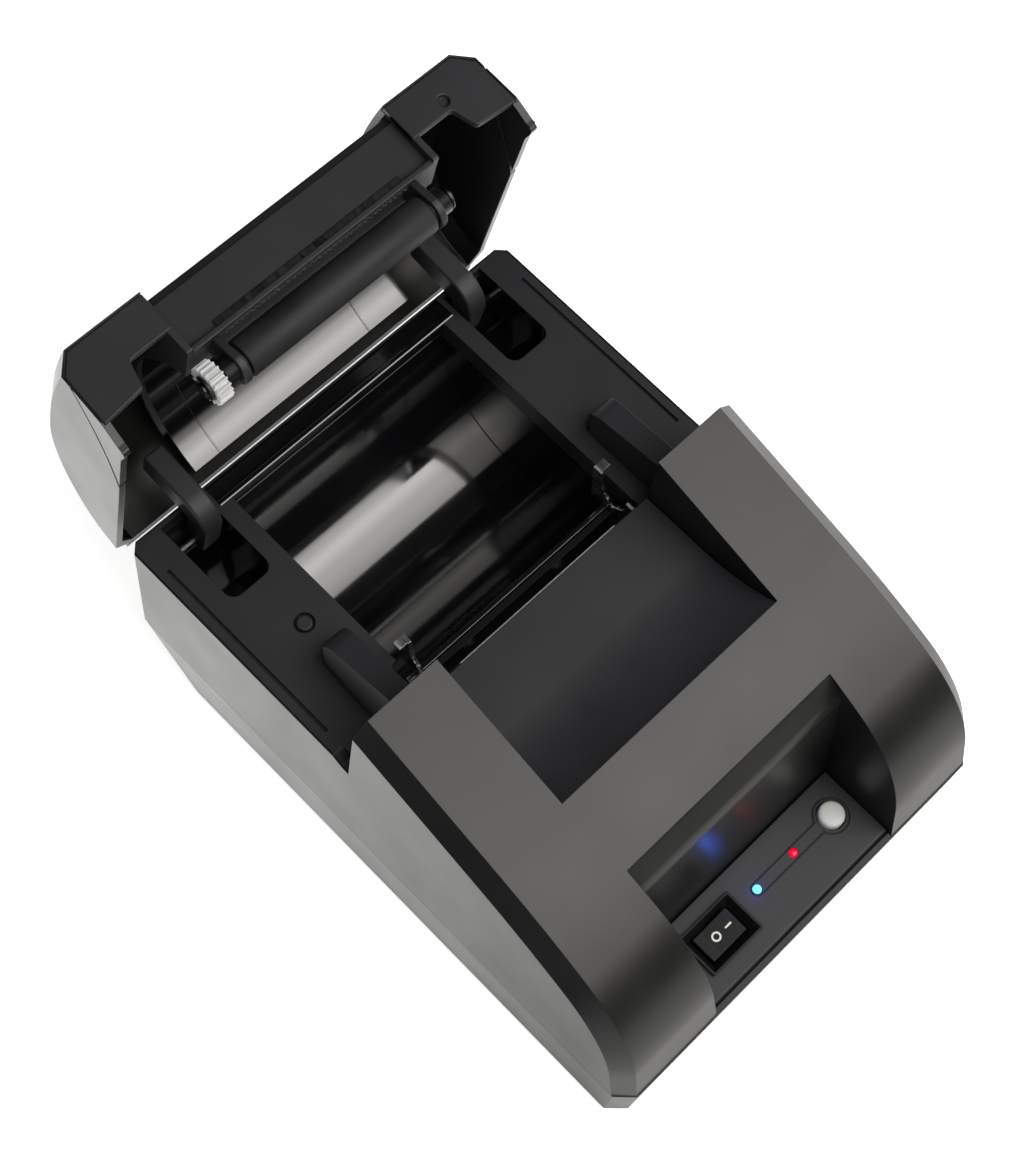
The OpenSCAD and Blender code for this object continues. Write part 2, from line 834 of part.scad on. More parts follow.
// Serrated strip along the lower edge of the lid panel.
module tear_bar() {
    on_lid() color(c_steel)
    difference() {
        box([-tooth_count * tooth_pitch / 2, panel_y - 0.5, ledge_z - 0.6],
            [tooth_count * tooth_pitch / 2, panel_y - gap, ledge_z + 3.4]);
        for (i = [0:tooth_count]) translate([(i - tooth_count / 2) * tooth_pitch, panel_y - 1, ledge_z - 0.6])
            rotate([0, 45, 0]) translate([-0.45, 0, -0.45]) cube([0.9, 2, 0.9]);
    }
}

module hinge_pins() {
    color(c_steel) both_sides()
        rod_x(pin_r, pocket_in - pocket_wall, pocket_out + pocket_wall, hinge_y, hinge_z);
}

// ---------- platen ----------

shaft_r = 2;
gear_x0 = -39.5;
gear_x1 = -35.5;
clip_t = 0.6;
left_clip_x = gear_x0 - clip_t - gap;
right_clip_x = 35.4;

module platen_shaft() {
    on_lid() color(c_steel)
    difference() {
        rod_x(shaft_r, left_clip_x - 0.8, right_clip_x + clip_t + 0.8, platen_y, platen_z);
        for (x = [left_clip_x, right_clip_x]) difference() {
            rod_x(shaft_r + 1, x - gap, x + clip_t + gap, platen_y, platen_z);
            rod_x(shaft_r - 0.5, x - 1, x + clip_t + 1, platen_y, platen_z);
        }
    }
}

module platen_rubber() {
    on_lid() color(c_rubber)
    difference() {
        rod_x(platen_d / 2, -platen_len / 2, platen_len / 2, platen_y, platen_z, fine_fn);
        rod_x(shaft_r, -platen_len, platen_len, platen_y, platen_z);
    }
}

module retaining_clips() {
    on_lid() color(c_steel)
    for (x = [left_clip_x, right_clip_x]) difference() {
        rod_x(3.3, x, x + clip_t, platen_y, platen_z, 32);
        rod_x(shaft_r - 0.45, x - 1, x + 2, platen_y, platen_z);
        box([x - 1, platen_y - 1.2, platen_z], [x + 2, platen_y + 1.2, platen_z + 6]);
    }
}

// A bushing with a shoulder on the rubber side.
module bushing() {
    difference() {
        union() {
            rod_x(bushing_r, platen_len / 2 + 0.4, 35, platen_y, platen_z);
            rod_x(bushing_r + 0.8, platen_len / 2 + 0.2, bracket_in - gap, platen_y, platen_z);
        }
        rod_x(shaft_r + gap, 20, 40, platen_y, platen_z);
    }
}

module platen_bushing_left() {
    on_lid() color(c_gloss) mirror([1, 0, 0]) bushing();
}

module platen_bushing_right() {
    on_lid() color(c_gloss) bushing();
}

// ---------- gears ----------

platen_teeth = 19;
rear_teeth = 24;
front_teeth = 30;
pinion_teeth = 10;
backlash = 0.03;
rear_angle = 248.1;
front_angle = 194.6;
pinion_angle = 183.7;

function pitch_r(teeth) = teeth * gear_module / 2;
function step_to(from, distance, angle) = [from[0] + distance * cos(angle), from[1] + distance * sin(angle)];
function mesh(a, b) = pitch_r(a) + pitch_r(b) + backlash;

// The platen gear and the rear idler only touch tip to tip here, so the lid can close at any tooth position.
platen_at = [platen_y, platen_z];
rear_at = step_to(platen_at, mesh(platen_teeth, rear_teeth) + 2 * gear_module + 0.02, rear_angle);
front_at = step_to(rear_at, mesh(rear_teeth, front_teeth), front_angle);
pinion_at = step_to(front_at, mesh(front_teeth, pinion_teeth), pinion_angle);

// Spur gear in (y, z) about its own axis; one tooth points along angle zero.
module gear_outline(teeth) {
    root = pitch_r(teeth) - 1.25 * gear_module;
    tip = pitch_r(teeth) + gear_module;
    circle(root, $fn = round_fn);
    for (i = [0:teeth - 1]) rotate(i * 360 / teeth)
        polygon([[root - 0.2, -0.4], [pitch_r(teeth), -0.33], [tip, -0.13],
                 [tip, 0.13], [pitch_r(teeth), 0.33], [root - 0.2, 0.4]]);
}

module gear(teeth, at, phase, bore) {
    across(gear_x0, gear_x1) translate(at) rotate(phase) difference() {
        gear_outline(teeth);
        circle(bore, $fn = round_fn);
    }
}

// Phase that puts a gap of the driven gear opposite the tooth of the driver.
function driven_phase(driver, driver_phase, driven, angle) =
    angle + 180 + 180 / driven + (angle - driver_phase) * driver / driven;

pinion_phase = 0;
front_phase = driven_phase(pinion_teeth, pinion_phase, front_teeth, pinion_angle + 180);
rear_phase = driven_phase(front_teeth, front_phase, rear_teeth, front_angle + 180);

module platen_gear() {
    on_lid() color(c_white)
    difference() {
        gear(platen_teeth, platen_at, 0, shaft_r);
        // ring recessed round the hub
        difference() {
            rod_x(3.6, gear_x0 - 1, gear_x0 + 0.8, platen_y, platen_z);
            rod_x(2.9, gear_x0 - 2, gear_x0 + 1, platen_y, platen_z);
        }
    }
}

post_r = 1.2;

module motor_pinion() {
    color(c_steel) {
        gear(pinion_teeth, pinion_at, pinion_phase, 0.75);
        rod_x(0.75 + eps, gear_x0, motor_x1 + 0.5, pinion_at[0], pinion_at[1]);
    }
}

module idler_gear_front() {
    color(c_white) gear(front_teeth, front_at, front_phase, post_r + gap);
}

module idler_gear_rear() {
    color(c_white) gear(rear_teeth, rear_at, rear_phase, post_r + gap);
}

module gear_posts() {
    color(c_steel) for (at = [front_at, rear_at]) {
        rod_x(post_r, gear_x0 - 0.4, -plate_in, at[0], at[1]);
        rod_x(post_r + 0.8, gear_x0 - 1, gear_x0 - 0.2, at[0], at[1]);
    }
}

// ---------- print mechanism ----------

plate_in = 33;
plate_out = 34;
chassis_low = 36;
chassis_front = -7;
chassis_rear = 13.2;
plate_top = 61.8;
horn_z = 65.5;
horn_root_z = 52.4;
horn_front_y = 17.6;
horn_rear_y = 20.3;
throat_front_y = 8.4;
throat_rear_y = 16.4;
trunnion = [3.5, 44.6];
trunnion_r = 1.5;
chassis_screw_x = 16;
chassis_screw_y = 8;
chassis_screw_r = 1;
motor_r = 9.5;
motor_x0 = -32.6;
motor_x1 = -15;

// Steel side plate with the open slot the platen bushing drops into.
module latch_plate() {
    difference() {
        across(plate_in, plate_out) difference() {
            polygon([[chassis_front, chassis_low], [chassis_rear, chassis_low],
                     [chassis_rear, horn_root_z], [horn_rear_y - 1.3, horn_root_z],
                     [horn_rear_y, horn_z], [horn_front_y, horn_z], [throat_rear_y, platen_z],
                     [platen_y, platen_z - 5.3], [throat_front_y, platen_z],
                     [throat_front_y, plate_top], [chassis_front, plate_top]]);
            translate(platen_at) circle(bushing_r + 0.1, $fn = round_fn);
            polygon([[platen_y - 3.6, platen_z], [platen_y - 3.6, 70],
                     [18, 70], [platen_y + 3.65, platen_z]]);
            translate(trunnion) circle(trunnion_r + gap, $fn = 32);
        }
    }
    // tab that the thumb levers the lid open with
    box([plate_out - eps, horn_front_y + 0.3, horn_z - 1], [plate_out + 2.6, horn_rear_y, horn_z]);
}

module latch_plate_right() {
    color(c_steel) latch_plate();
}

module latch_plate_left() {
    color(c_steel) difference() {
        mirror([1, 0, 0]) latch_plate();
        rod_x(1.2, -40, -20, pinion_at[0], pinion_at[1], 32);
        for (at = [front_at, rear_at]) rod_x(post_r, -40, -20, at[0], at[1]);
    }
    // flange that carries the motor
    color(c_steel) difference() {
        box([-plate_out, pinion_at[0] - motor_r - 1, chassis_low], [-plate_in, chassis_front + eps, 56]);
        rod_x(1.2, -40, -20, pinion_at[0], pinion_at[1], 32);
        rod_x(post_r, -40, -20, front_at[0], front_at[1]);
    }
}

module head_chassis() {
    color(c_gloss)
    difference() {
        union() {
            box([-plate_in + gap, chassis_front, chassis_low], [plate_in - gap, chassis_rear, 41]);
            box([-plate_in + gap, -5.4, chassis_low], [plate_in - gap, -4, 60]);
            box([-plate_in + gap, 11.4, chassis_low], [plate_in - gap, chassis_rear, 52]);
        }
        box([-plate_in - 1, chassis_front - 1, chassis_low + 1.5], [motor_x1 + 1, -3.9, 55]);
        for (x = [-chassis_screw_x, chassis_screw_x])
            rod_z(chassis_screw_r + 0.02, 0, far, x, chassis_screw_y, 32);
    }
}

module chassis_screws() {
    color(c_steel) for (x = [-chassis_screw_x, chassis_screw_x])
        mirror([0, 0, 1]) screw(x, chassis_screw_y, -42.2, 7, chassis_screw_r, 1.9, 1.2);
}

sink_low = 43;
sink_high = 61.4;

module heat_sink() {
    color(c_steel) {
        box([-28, 1.5, sink_low], [28, 5.5, sink_high]);
        for (x = [-24:6:24]) box([x - 0.8, 0.4, sink_low + 3], [x + 0.8, 1.6, 53]);
        both_sides() rod_x(trunnion_r, 27, plate_out, trunnion[0], trunnion[1], 32);
    }
}

module thermal_head() {
    color(c_white) {
        box([-27, 5.5 + eps, 47], [27, 6.5, sink_high]);
        box([-24.5, 6.5 - eps, platen_z - 0.8], [24.5, 6.85, platen_z + 0.8]);
    }
}

spring_wire = 0.4;
spring_turns = 5;
spring_r = 2;
spring_z = 57;
spring_pitch = 18;

// Coil springs behind the head, drawn as stacked rings tied by a spine.
module head_springs() {
    y0 = -4 + gap;
    y1 = 1.2;
    color(c_steel) for (x = [-spring_pitch, 0, spring_pitch]) {
        for (i = [0:spring_turns])
            translate([x, y0 + spring_wire + i * (y1 - y0 - 2 * spring_wire) / spring_turns, spring_z])
                rotate([90, 0, 0]) rotate_extrude($fn = 32)
                    translate([spring_r - spring_wire, 0]) circle(spring_wire, $fn = 16);
        rod_y(spring_wire * 0.8, y0 + spring_wire, y1 - spring_wire,
              x, spring_z + spring_r - spring_wire, 16);
    }
}

module stepper_motor() {
    color(c_steel)
    difference() {
        union() {
            rod_x(motor_r, motor_x0, motor_x1, pinion_at[0], pinion_at[1]);
            rod_x(3, -plate_in + gap, motor_x0 + eps, pinion_at[0], pinion_at[1], 32);
        }
        rod_x(0.9, -40, motor_x1 + 1, pinion_at[0], pinion_at[1], 32);
    }
}

// Reflective sensor that looks into the bay from the front.
module paper_sensor() {
    color(c_gloss) {
        rod_y(2.5, roll_y - bay_r - tub_wall - 0.1, roll_y - bay_r + 2.1, sensor_x, sensor_z, 32);
        box([sensor_x - 3.2, chassis_rear + gap - eps, sensor_z - 3],
            [sensor_x + 3.2, roll_y - bay_r - tub_wall, sensor_z + 3]);
    }
}

// ---------- electronics ----------

board_half = 48;
board_front = -58;
board_rear = 63.6;
board_top = board_z + board_t;

module main_board() {
    color(c_board)
    difference() {
        box([-board_half, board_front, board_z + eps], [board_half, board_rear, board_top]);
        for (p = board_screw_spots()) rod_z(1.3, 0, 20, p[0], p[1], 32);
        for (p = case_screw_spots()) rod_z(case_boss_r + 0.4, 0, 20, p[0], p[1], 32);
    }
}

module control_chip() {
    color(c_gloss) box([-8, -6, board_top + gap], [6, 8, board_top + 1.6]);
}

module capacitors() {
    color(c_gloss) for (x = [20, 32]) rod_z(4, board_top + gap, board_top + 10, x, -30, 32);
}

dc_x = -24;
dc_half = 4.6;
dc_bore_r = 3.1;
dc_axis_z = board_top + 5.5;
usb_x = -2;
usb_half = 6;
usb_top = board_top + 10.8;
drawer_x = 20;
drawer_half = 6.6;
drawer_top = board_top + 11.3;
port_slack = 0.2;
port_front = 53;
port_face = port_wall_y - 0.6;

module port_holes() {
    rod_y(dc_half, 60, 70, dc_x, dc_axis_z, 48);
    box([usb_x - usb_half - port_slack, 60, board_top - 0.1],
        [usb_x + usb_half + port_slack, 70, usb_top + 0.1]);
    box([drawer_x - drawer_half - port_slack, 60, board_top - 0.1],
        [drawer_x + drawer_half + port_slack, 70, drawer_top + port_slack]);
}

module dc_jack() {
    color(c_gloss) difference() {
        union() {
            box([dc_x - dc_half, port_front, board_top + gap], [dc_x + dc_half, 63.9, board_top + 10.6]);
            rod_y(dc_half - 0.1, 63, port_face, dc_x, dc_axis_z, 48);
        }
        rod_y(dc_bore_r, port_front + 3, 70, dc_x, dc_axis_z, 48);
    }
    color(c_steel) rod_y(1, port_front + 2, port_face - 0.6, dc_x, dc_axis_z, 32);
}

module usb_port() {
    color(c_steel) difference() {
        box([usb_x - usb_half, port_front, board_top + gap], [usb_x + usb_half, port_face, usb_top]);
        box([usb_x - usb_half + 0.6, port_front + 1, board_top + 0.7],
            [usb_x + usb_half - 0.6, 70, usb_top - 0.6]);
    }
    color(c_gloss) box([usb_x - 2.8, port_front + 0.5, board_top + 3.6],
                       [usb_x + 2.8, port_face - 1, board_top + 6.8]);
}

module drawer_port() {
    color(c_gloss) difference() {
        box([drawer_x - drawer_half, port_front, board_top + gap],
            [drawer_x + drawer_half, port_face, drawer_top]);
        box([drawer_x - 4.9, port_front + 2, board_top + 2.4], [drawer_x + 4.9, 70, board_top + 9]);
        // groove for the plug's latch
        box([drawer_x - 1.6, port_front + 2, board_top + 1], [drawer_x + 1.6, 70, board_top + 3]);
    }
}

cable_half = 12;

// Flat cable from the head down to the board.
module head_cable() {
    color(c_white) across(-cable_half, cable_half) polygon([
        [-9, board_top + gap], [-9, 33], [-2.5, 34.4], [-2.5, 34.7], [-9.3, 33.2], [-9.3, board_top + gap]]);
}

// ---------- control panel ----------

panel_front_y = front_y + 1.1;
button_x = 25.4;
led_red_x = 11;
led_blue_x = -2.8;
row_y = -80;
switch_x = -18.2;
switch_y = -81.4;
bezel = [18.2, 12.6];
socket = [13.4, 8.2];

module control_panel() {
    color(c_dark)
    difference() {
        box([-recess_half + 0.1, panel_front_y, seam_z + gap],
            [recess_half - 0.1, recess_back_y - 0.1, panel_z]);
        rod_z(button_d / 2 + 0.1, 0, 60, button_x, row_y);
        for (x = [led_red_x, led_blue_x]) rod_z(1.3, 0, 60, x, row_y, 32);
        box([switch_x - 8.3, switch_y - 5.5, 0], [switch_x + 8.3, switch_y + 5.5, 60]);
        keyhole();
    }
}

// Engraved outline that runs round the button and along the two lamps.
module keyhole() {
    groove_w = 0.5;
    track = 1.9;
    ring = button_d / 2 + 1.5;
    translate([0, 0, panel_z - 0.4]) linear_extrude(1) difference() {
        union() {
            translate([button_x, row_y]) circle(ring, $fn = 48);
            translate([led_blue_x, row_y - track]) square([button_x - led_blue_x, 2 * track]);
            translate([led_blue_x, row_y]) circle(track, $fn = 48);
        }
        translate([button_x, row_y]) circle(ring - groove_w, $fn = 48);
        translate([led_blue_x, row_y - track + groove_w])
            square([button_x - led_blue_x, 2 * (track - groove_w)]);
        translate([led_blue_x, row_y]) circle(track - groove_w, $fn = 48);
    }
}

module feed_button() {
    color(c_white) {
        rod_z(button_d / 2, 17.4, panel_z + 1.2, button_x, row_y);
        translate([button_x, row_y, panel_z + 1.2 - eps])
            cylinder(r1 = button_d / 2, r2 = button_d / 2 - 0.7, h = 0.6, $fn = round_fn);
        rod_z(button_d / 2 + 0.9, 17.4, 18.4, button_x, row_y);
    }
}

module feed_switch() {
    color(c_gloss) {
        box([button_x - 3, row_y - 3, 11.7], [button_x + 3, row_y + 3, 15]);
        rod_z(1.7, 15 - eps, 16, button_x, row_y, 32);
    }
}

module panel_board() {
    color(c_board) box([-6, -90, 10], [31, -73, 11.6]);
}

module power_led() {
    color([0.2, 0.6, 1]) led(led_blue_x);
}

module status_led() {
    color([1, 0.1, 0.2]) led(led_red_x);
}

module led(x) {
    rod_z(1.25, 11.7, panel_z + 0.1, x, row_y, 32);
    rod_z(1.8, 11.65, 12.6, x, row_y, 32);
}

module switch_housing() {
    color(c_gloss)
    difference() {
        union() {
            box([switch_x - bezel[0] / 2, switch_y - bezel[1] / 2, panel_z + gap],
                [switch_x + bezel[0] / 2, switch_y + bezel[1] / 2, panel_z + 1.1]);
            box([switch_x - 8.1, switch_y - 5.3, 9.5], [switch_x + 8.1, switch_y + 5.3, panel_z + 0.2]);
        }
        box([switch_x - socket[0] / 2, switch_y - socket[1] / 2, 15],
            [switch_x + socket[0] / 2, switch_y + socket[1] / 2, 60]);
        rod_y(1.1, switch_y - 5, switch_y + 5, switch_x, rocker_z, 32);
    }
}

rocker_z = 20.6;
rocker_half = 6.1;

// Rocker with a shallow vee across its top, tilted down on the left.
module power_rocker() {
    color(c_gloss) translate([switch_x, switch_y, rocker_z]) rotate([0, -rocker_tilt, 0]) {
        along(-3.9, 3.9)
            polygon([[-rocker_half, 2.9], [0, 1.7], [rocker_half, 2.9],
                     [rocker_half - 0.5, 0.2], [3, -3.4], [-3, -3.4],
                     [-rocker_half + 0.5, 0.2]]);
        rod_y(1.05, -4.8, 4.8, 0, 0, 32);
    }
}

// ---------- assembly ----------

base_tray();
upper_case();
deck_frame();
paper_tub();
head_cover();
control_panel();
feed_button();
switch_housing();
power_rocker();
power_led();
status_led();
panel_board();
feed_switch();
lid_sensor_plunger();
lid_sensor_switch();
lid_cover();
lid_frame();
lid_liner();
tear_bar();
hinge_pins();
platen_shaft();
platen_rubber();
platen_gear();
platen_bushing_left();
platen_bushing_right();
retaining_clips();
head_chassis();
latch_plate_left();
latch_plate_right();
heat_sink();
thermal_head();
head_springs();
stepper_motor();
motor_pinion();
idler_gear_front();
idler_gear_rear();
gear_posts();
paper_sensor();
head_cable();
main_board();
control_chip();
capacitors();
dc_jack();
usb_port();
drawer_port();
case_screws();
board_screws();
chassis_screws();
rubber_feet();
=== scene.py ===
"""Looks of the receipt printer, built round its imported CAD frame.

Lengths inside the builders are millimetres; every mesh is made in metres.
Frame: +X right seen from the front, +Y to the rear, +Z up, origin on the table.
"""

import math

import bmesh
import bpy
from mathutils import Matrix, Vector
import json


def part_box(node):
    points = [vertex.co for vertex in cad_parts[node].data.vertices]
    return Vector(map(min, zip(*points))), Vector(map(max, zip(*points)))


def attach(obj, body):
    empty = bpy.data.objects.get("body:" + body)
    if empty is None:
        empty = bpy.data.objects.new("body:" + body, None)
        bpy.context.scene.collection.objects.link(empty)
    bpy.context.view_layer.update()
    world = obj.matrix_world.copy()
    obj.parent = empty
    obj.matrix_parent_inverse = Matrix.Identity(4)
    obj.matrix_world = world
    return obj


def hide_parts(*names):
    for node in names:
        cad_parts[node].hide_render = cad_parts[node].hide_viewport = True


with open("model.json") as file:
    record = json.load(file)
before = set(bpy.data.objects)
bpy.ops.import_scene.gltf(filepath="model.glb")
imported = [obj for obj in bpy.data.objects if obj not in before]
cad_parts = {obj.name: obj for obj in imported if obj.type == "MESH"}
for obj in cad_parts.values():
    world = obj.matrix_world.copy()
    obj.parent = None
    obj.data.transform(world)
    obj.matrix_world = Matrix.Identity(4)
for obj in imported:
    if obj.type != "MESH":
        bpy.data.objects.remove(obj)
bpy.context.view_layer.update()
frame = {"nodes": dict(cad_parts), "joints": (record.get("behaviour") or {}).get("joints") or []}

MM = 0.001
scene = bpy.context.scene


# ---------- sizes read from the frame ----------


def joint(name):
    return next(j for j in frame["joints"] if j["name"] == name)


def box_mm(node):
    low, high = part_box(node)
    return low / MM, high / MM


def middle(node):
    low, high = box_mm(node)
    return (low + high) / 2


hinge = Vector(joint("lid_hinge")["pos_m"]) / MM
open_angle = -joint("lid_hinge")["range_deg"][0]
opening = (
    Matrix.Translation(hinge)
    @ Matrix.Rotation(-math.radians(open_angle), 4, "X")
    @ Matrix.Translation(-hinge)
)
opening_m = Matrix.Translation(opening.to_translation() * MM) @ opening.to_3x3().to_4x4()


def closed_box(node):
    """Lowest and highest corner of a lid node with the lid shut."""
    shut = opening.inverted()
    points = [shut @ (v.co / MM) for v in frame["nodes"][node].data.vertices]
    return [Vector([pick(p[i] for p in points) for i in range(3)]) for pick in (min, max)]


case_high = box_mm("upper_case")[1]
tray_low, tray_high = box_mm("base_tray")
tub_low, tub_high = box_mm("paper_tub")
cover_low, cover_high = box_mm("head_cover")
panel_high = box_mm("control_panel")[1]
lid_low, lid_high = closed_box("lid_cover")

half_w = case_high.x
front_y = tray_low.y
rear_y = case_high.y
seam_z = tray_high.z
shell_z = case_high.z
split_y = cover_high.y
deck_z = box_mm("lid_sensor_plunger")[1].z - 0.2
tub_wall = 1.5
deck_t = 1.8
roll_r = (tub_high.y - tub_low.y) / 2 - tub_wall
roll_y = (tub_high.y + tub_low.y) / 2
roll_z = tub_low.z + roll_r + tub_wall
bay_half = tub_high.x - tub_wall
panel_z = panel_high.z
recess_half = panel_high.x + 0.1
recess_back_y = panel_high.y + 0.1
inlay_half = cover_high.x + 0.15
platen_mid = middle("platen_rubber")

draft = math.radians(2.4)
bevel = 4.4
wall = 2.2
recess_flare = math.tan(math.radians(3.6))
seam_gap = 0.14
rear_corner = 4.0


# ---------- mesh helpers ----------


def new_object(name, points, faces):
    mesh = bpy.data.meshes.new(name)
    mesh.from_pydata([tuple(c * MM for c in p) for p in points], [], faces)
    obj = bpy.data.objects.new(name, mesh)
    scene.collection.objects.link(obj)
    clean(obj)
    return obj


def clean(obj, flat=0.0):
    """Merges doubled points, melts flat joins and turns every face outwards."""
    bm = bmesh.new()
    bm.from_mesh(obj.data)
    bmesh.ops.remove_doubles(bm, verts=bm.verts, dist=0.004 * MM)
    if flat:
        bmesh.ops.dissolve_limit(
            bm, angle_limit=math.radians(flat), verts=bm.verts, edges=bm.edges
        )
    bmesh.ops.recalc_face_normals(bm, faces=bm.faces)
    bm.to_mesh(obj.data)
    bm.free()


def prism(outline, axis, low, high, name="cutter"):
    """Extrudes an outline along an axis: (y, z) along x, (x, z) along y, (x, y) along z."""
    count = len(outline)

    def place(point, depth):
        a, b = point
        return {"x": (depth, a, b), "y": (a, depth, b), "z": (a, b, depth)}[axis]

    points = [place(p, low) for p in outline] + [place(p, high) for p in outline]
    faces = [tuple(range(count)), tuple(range(2 * count - 1, count - 1, -1))]
    for i in range(count):
        j = (i + 1) % count
        faces.append((i, j, count + j, count + i))
    return new_object(name, points, faces)


def block(low, high, name="cutter"):
    outline = [(low[0], low[1]), (high[0], low[1]), (high[0], high[1]), (low[0], high[1])]
    return prism(outline, "z", low[2], high[2], name)


def lathe(profile, name, steps=64):
    """Turns a profile of (radius, height) points about +Z."""
    points = []
    faces = []
    for i in range(steps):
        a = 2 * math.pi * i / steps
        points += [(r * math.cos(a), r * math.sin(a), h) for r, h in profile]
    count = len(profile)
    for i in range(steps):
        j = (i + 1) % steps
        for k in range(count - 1):
            faces.append((i * count + k, j * count + k, j * count + k + 1, i * count + k + 1))
    faces.append(tuple(i * count for i in range(steps)))
    faces.append(tuple(i * count + count - 1 for i in range(steps)))
    return new_object(name, points, faces)


def arc(centre, radius, start, end, steps):
    """Points of an arc from start to end, both in degrees."""
    result = []
    for i in range(steps + 1):
        a = math.radians(start + (end - start) * i / steps)
        result.append((centre[0] + radius * math.cos(a), centre[1] + radius * math.sin(a)))
    return result


def circle(centre, radius, steps=48):
    return arc(centre, radius, 0, 360 - 360 / steps, steps - 1)


def rounded(corners, steps=6):
    """A closed outline from (a, b, radius) corners, each corner rounded by its radius."""
    result = []
    for i, (a, b, radius) in enumerate(corners):
        here = Vector((a, b))
        if not radius:
            result.append((a, b))
            continue
        before = (Vector(corners[i - 1][:2]) - here).normalized()
        after = (Vector(corners[(i + 1) % len(corners)][:2]) - here).normalized()
        half = before.angle(after) / 2
        centre = here + (before + after).normalized() * radius / math.sin(half)
        start = here + before * radius / math.tan(half) - centre
        end = here + after * radius / math.tan(half) - centre
        for k in range(steps + 1):
            spoke = start.slerp(end, k / steps).normalized()
            result.append(tuple(centre + spoke * radius))
    return result


def rounded_box(low, high, radius, far_radius=None):
    """Rounded rectangle; its corners on the high side of b may have a radius of their own."""
    far = radius if far_radius is None else far_radius
    (a0, b0), (a1, b1) = low, high
    return rounded([(a0, b0, radius), (a1, b0, radius), (a1, b1, far), (a0, b1, far)])


def move(obj, x, y, z):
    obj.data.transform(Matrix.Translation(Vector((x, y, z)) * MM))


def bake(obj):
    """Applies the modifiers of an object."""
    graph = bpy.context.evaluated_depsgraph_get()
    mesh = bpy.data.meshes.new_from_object(obj.evaluated_get(graph), depsgraph=graph)
    obj.modifiers.clear()
    obj.data = mesh


def combine(obj, operation, *tools):
    for tool in tools:
        mod = obj.modifiers.new("combine", "BOOLEAN")
        mod.operation = operation
        mod.solver = "EXACT"
        mod.object = tool
        bake(obj)
        bpy.data.objects.remove(tool)
        clean(obj, flat=0.05)
    return obj


def cut(obj, *tools):
    return combine(obj, "DIFFERENCE", *tools)


def add(obj, *tools):
    return combine(obj, "UNION", *tools)


def keep(obj, *tools):
    return combine(obj, "INTERSECT", *tools)


def mirrored(builder, *args):
    """The same piece on the right and, mirrored, on the left."""
    right = builder(*args)
    left = right.copy()
    left.data = right.data.copy()
    left.data.transform(Matrix.Scale(-1, 4, (1, 0, 0)))
    scene.collection.objects.link(left)
    clean(left)
    return right, left


def round_edges(obj, width, segments=3, angle=28):
    mod = obj.modifiers.new("edges", "BEVEL")
    mod.width = width * MM
    mod.segments = segments
    mod.limit_method = "ANGLE"
    mod.angle_limit = math.radians(angle)
    mod.use_clamp_overlap = True
    smooth(obj, angle)
    flat = obj.modifiers.new("flat", "WEIGHTED_NORMAL")
    flat.keep_sharp = True
    return obj


def soften(obj):
    round_edges(obj, 0.2)


def smooth(obj, angle=28):
    for face in obj.data.polygons:
        face.use_smooth = True
    obj.data.set_sharp_from_angle(angle=math.radians(angle))


def place(obj, name, body, material, slot, *nodes):
    """Names a finished piece, gives it its material and lets it ride on its body."""
    obj.name = name
    obj.data.name = name
    obj.data.materials.clear()
    obj.data.materials.append(material)
    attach(obj, body)
    if nodes:
        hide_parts(*nodes)
    return obj


def place_pair(builder, name, body, material, slot, finish):
    """Builds, finishes and places a piece on the right and its mirror image on the left."""
    for piece, side in zip(mirrored(builder), ("right", "left")):
        finish(piece)
        place(piece, name + side, body, material, slot)


def open_lid(obj):
    obj.data.transform(opening_m)
    return obj


# ---------- materials ----------


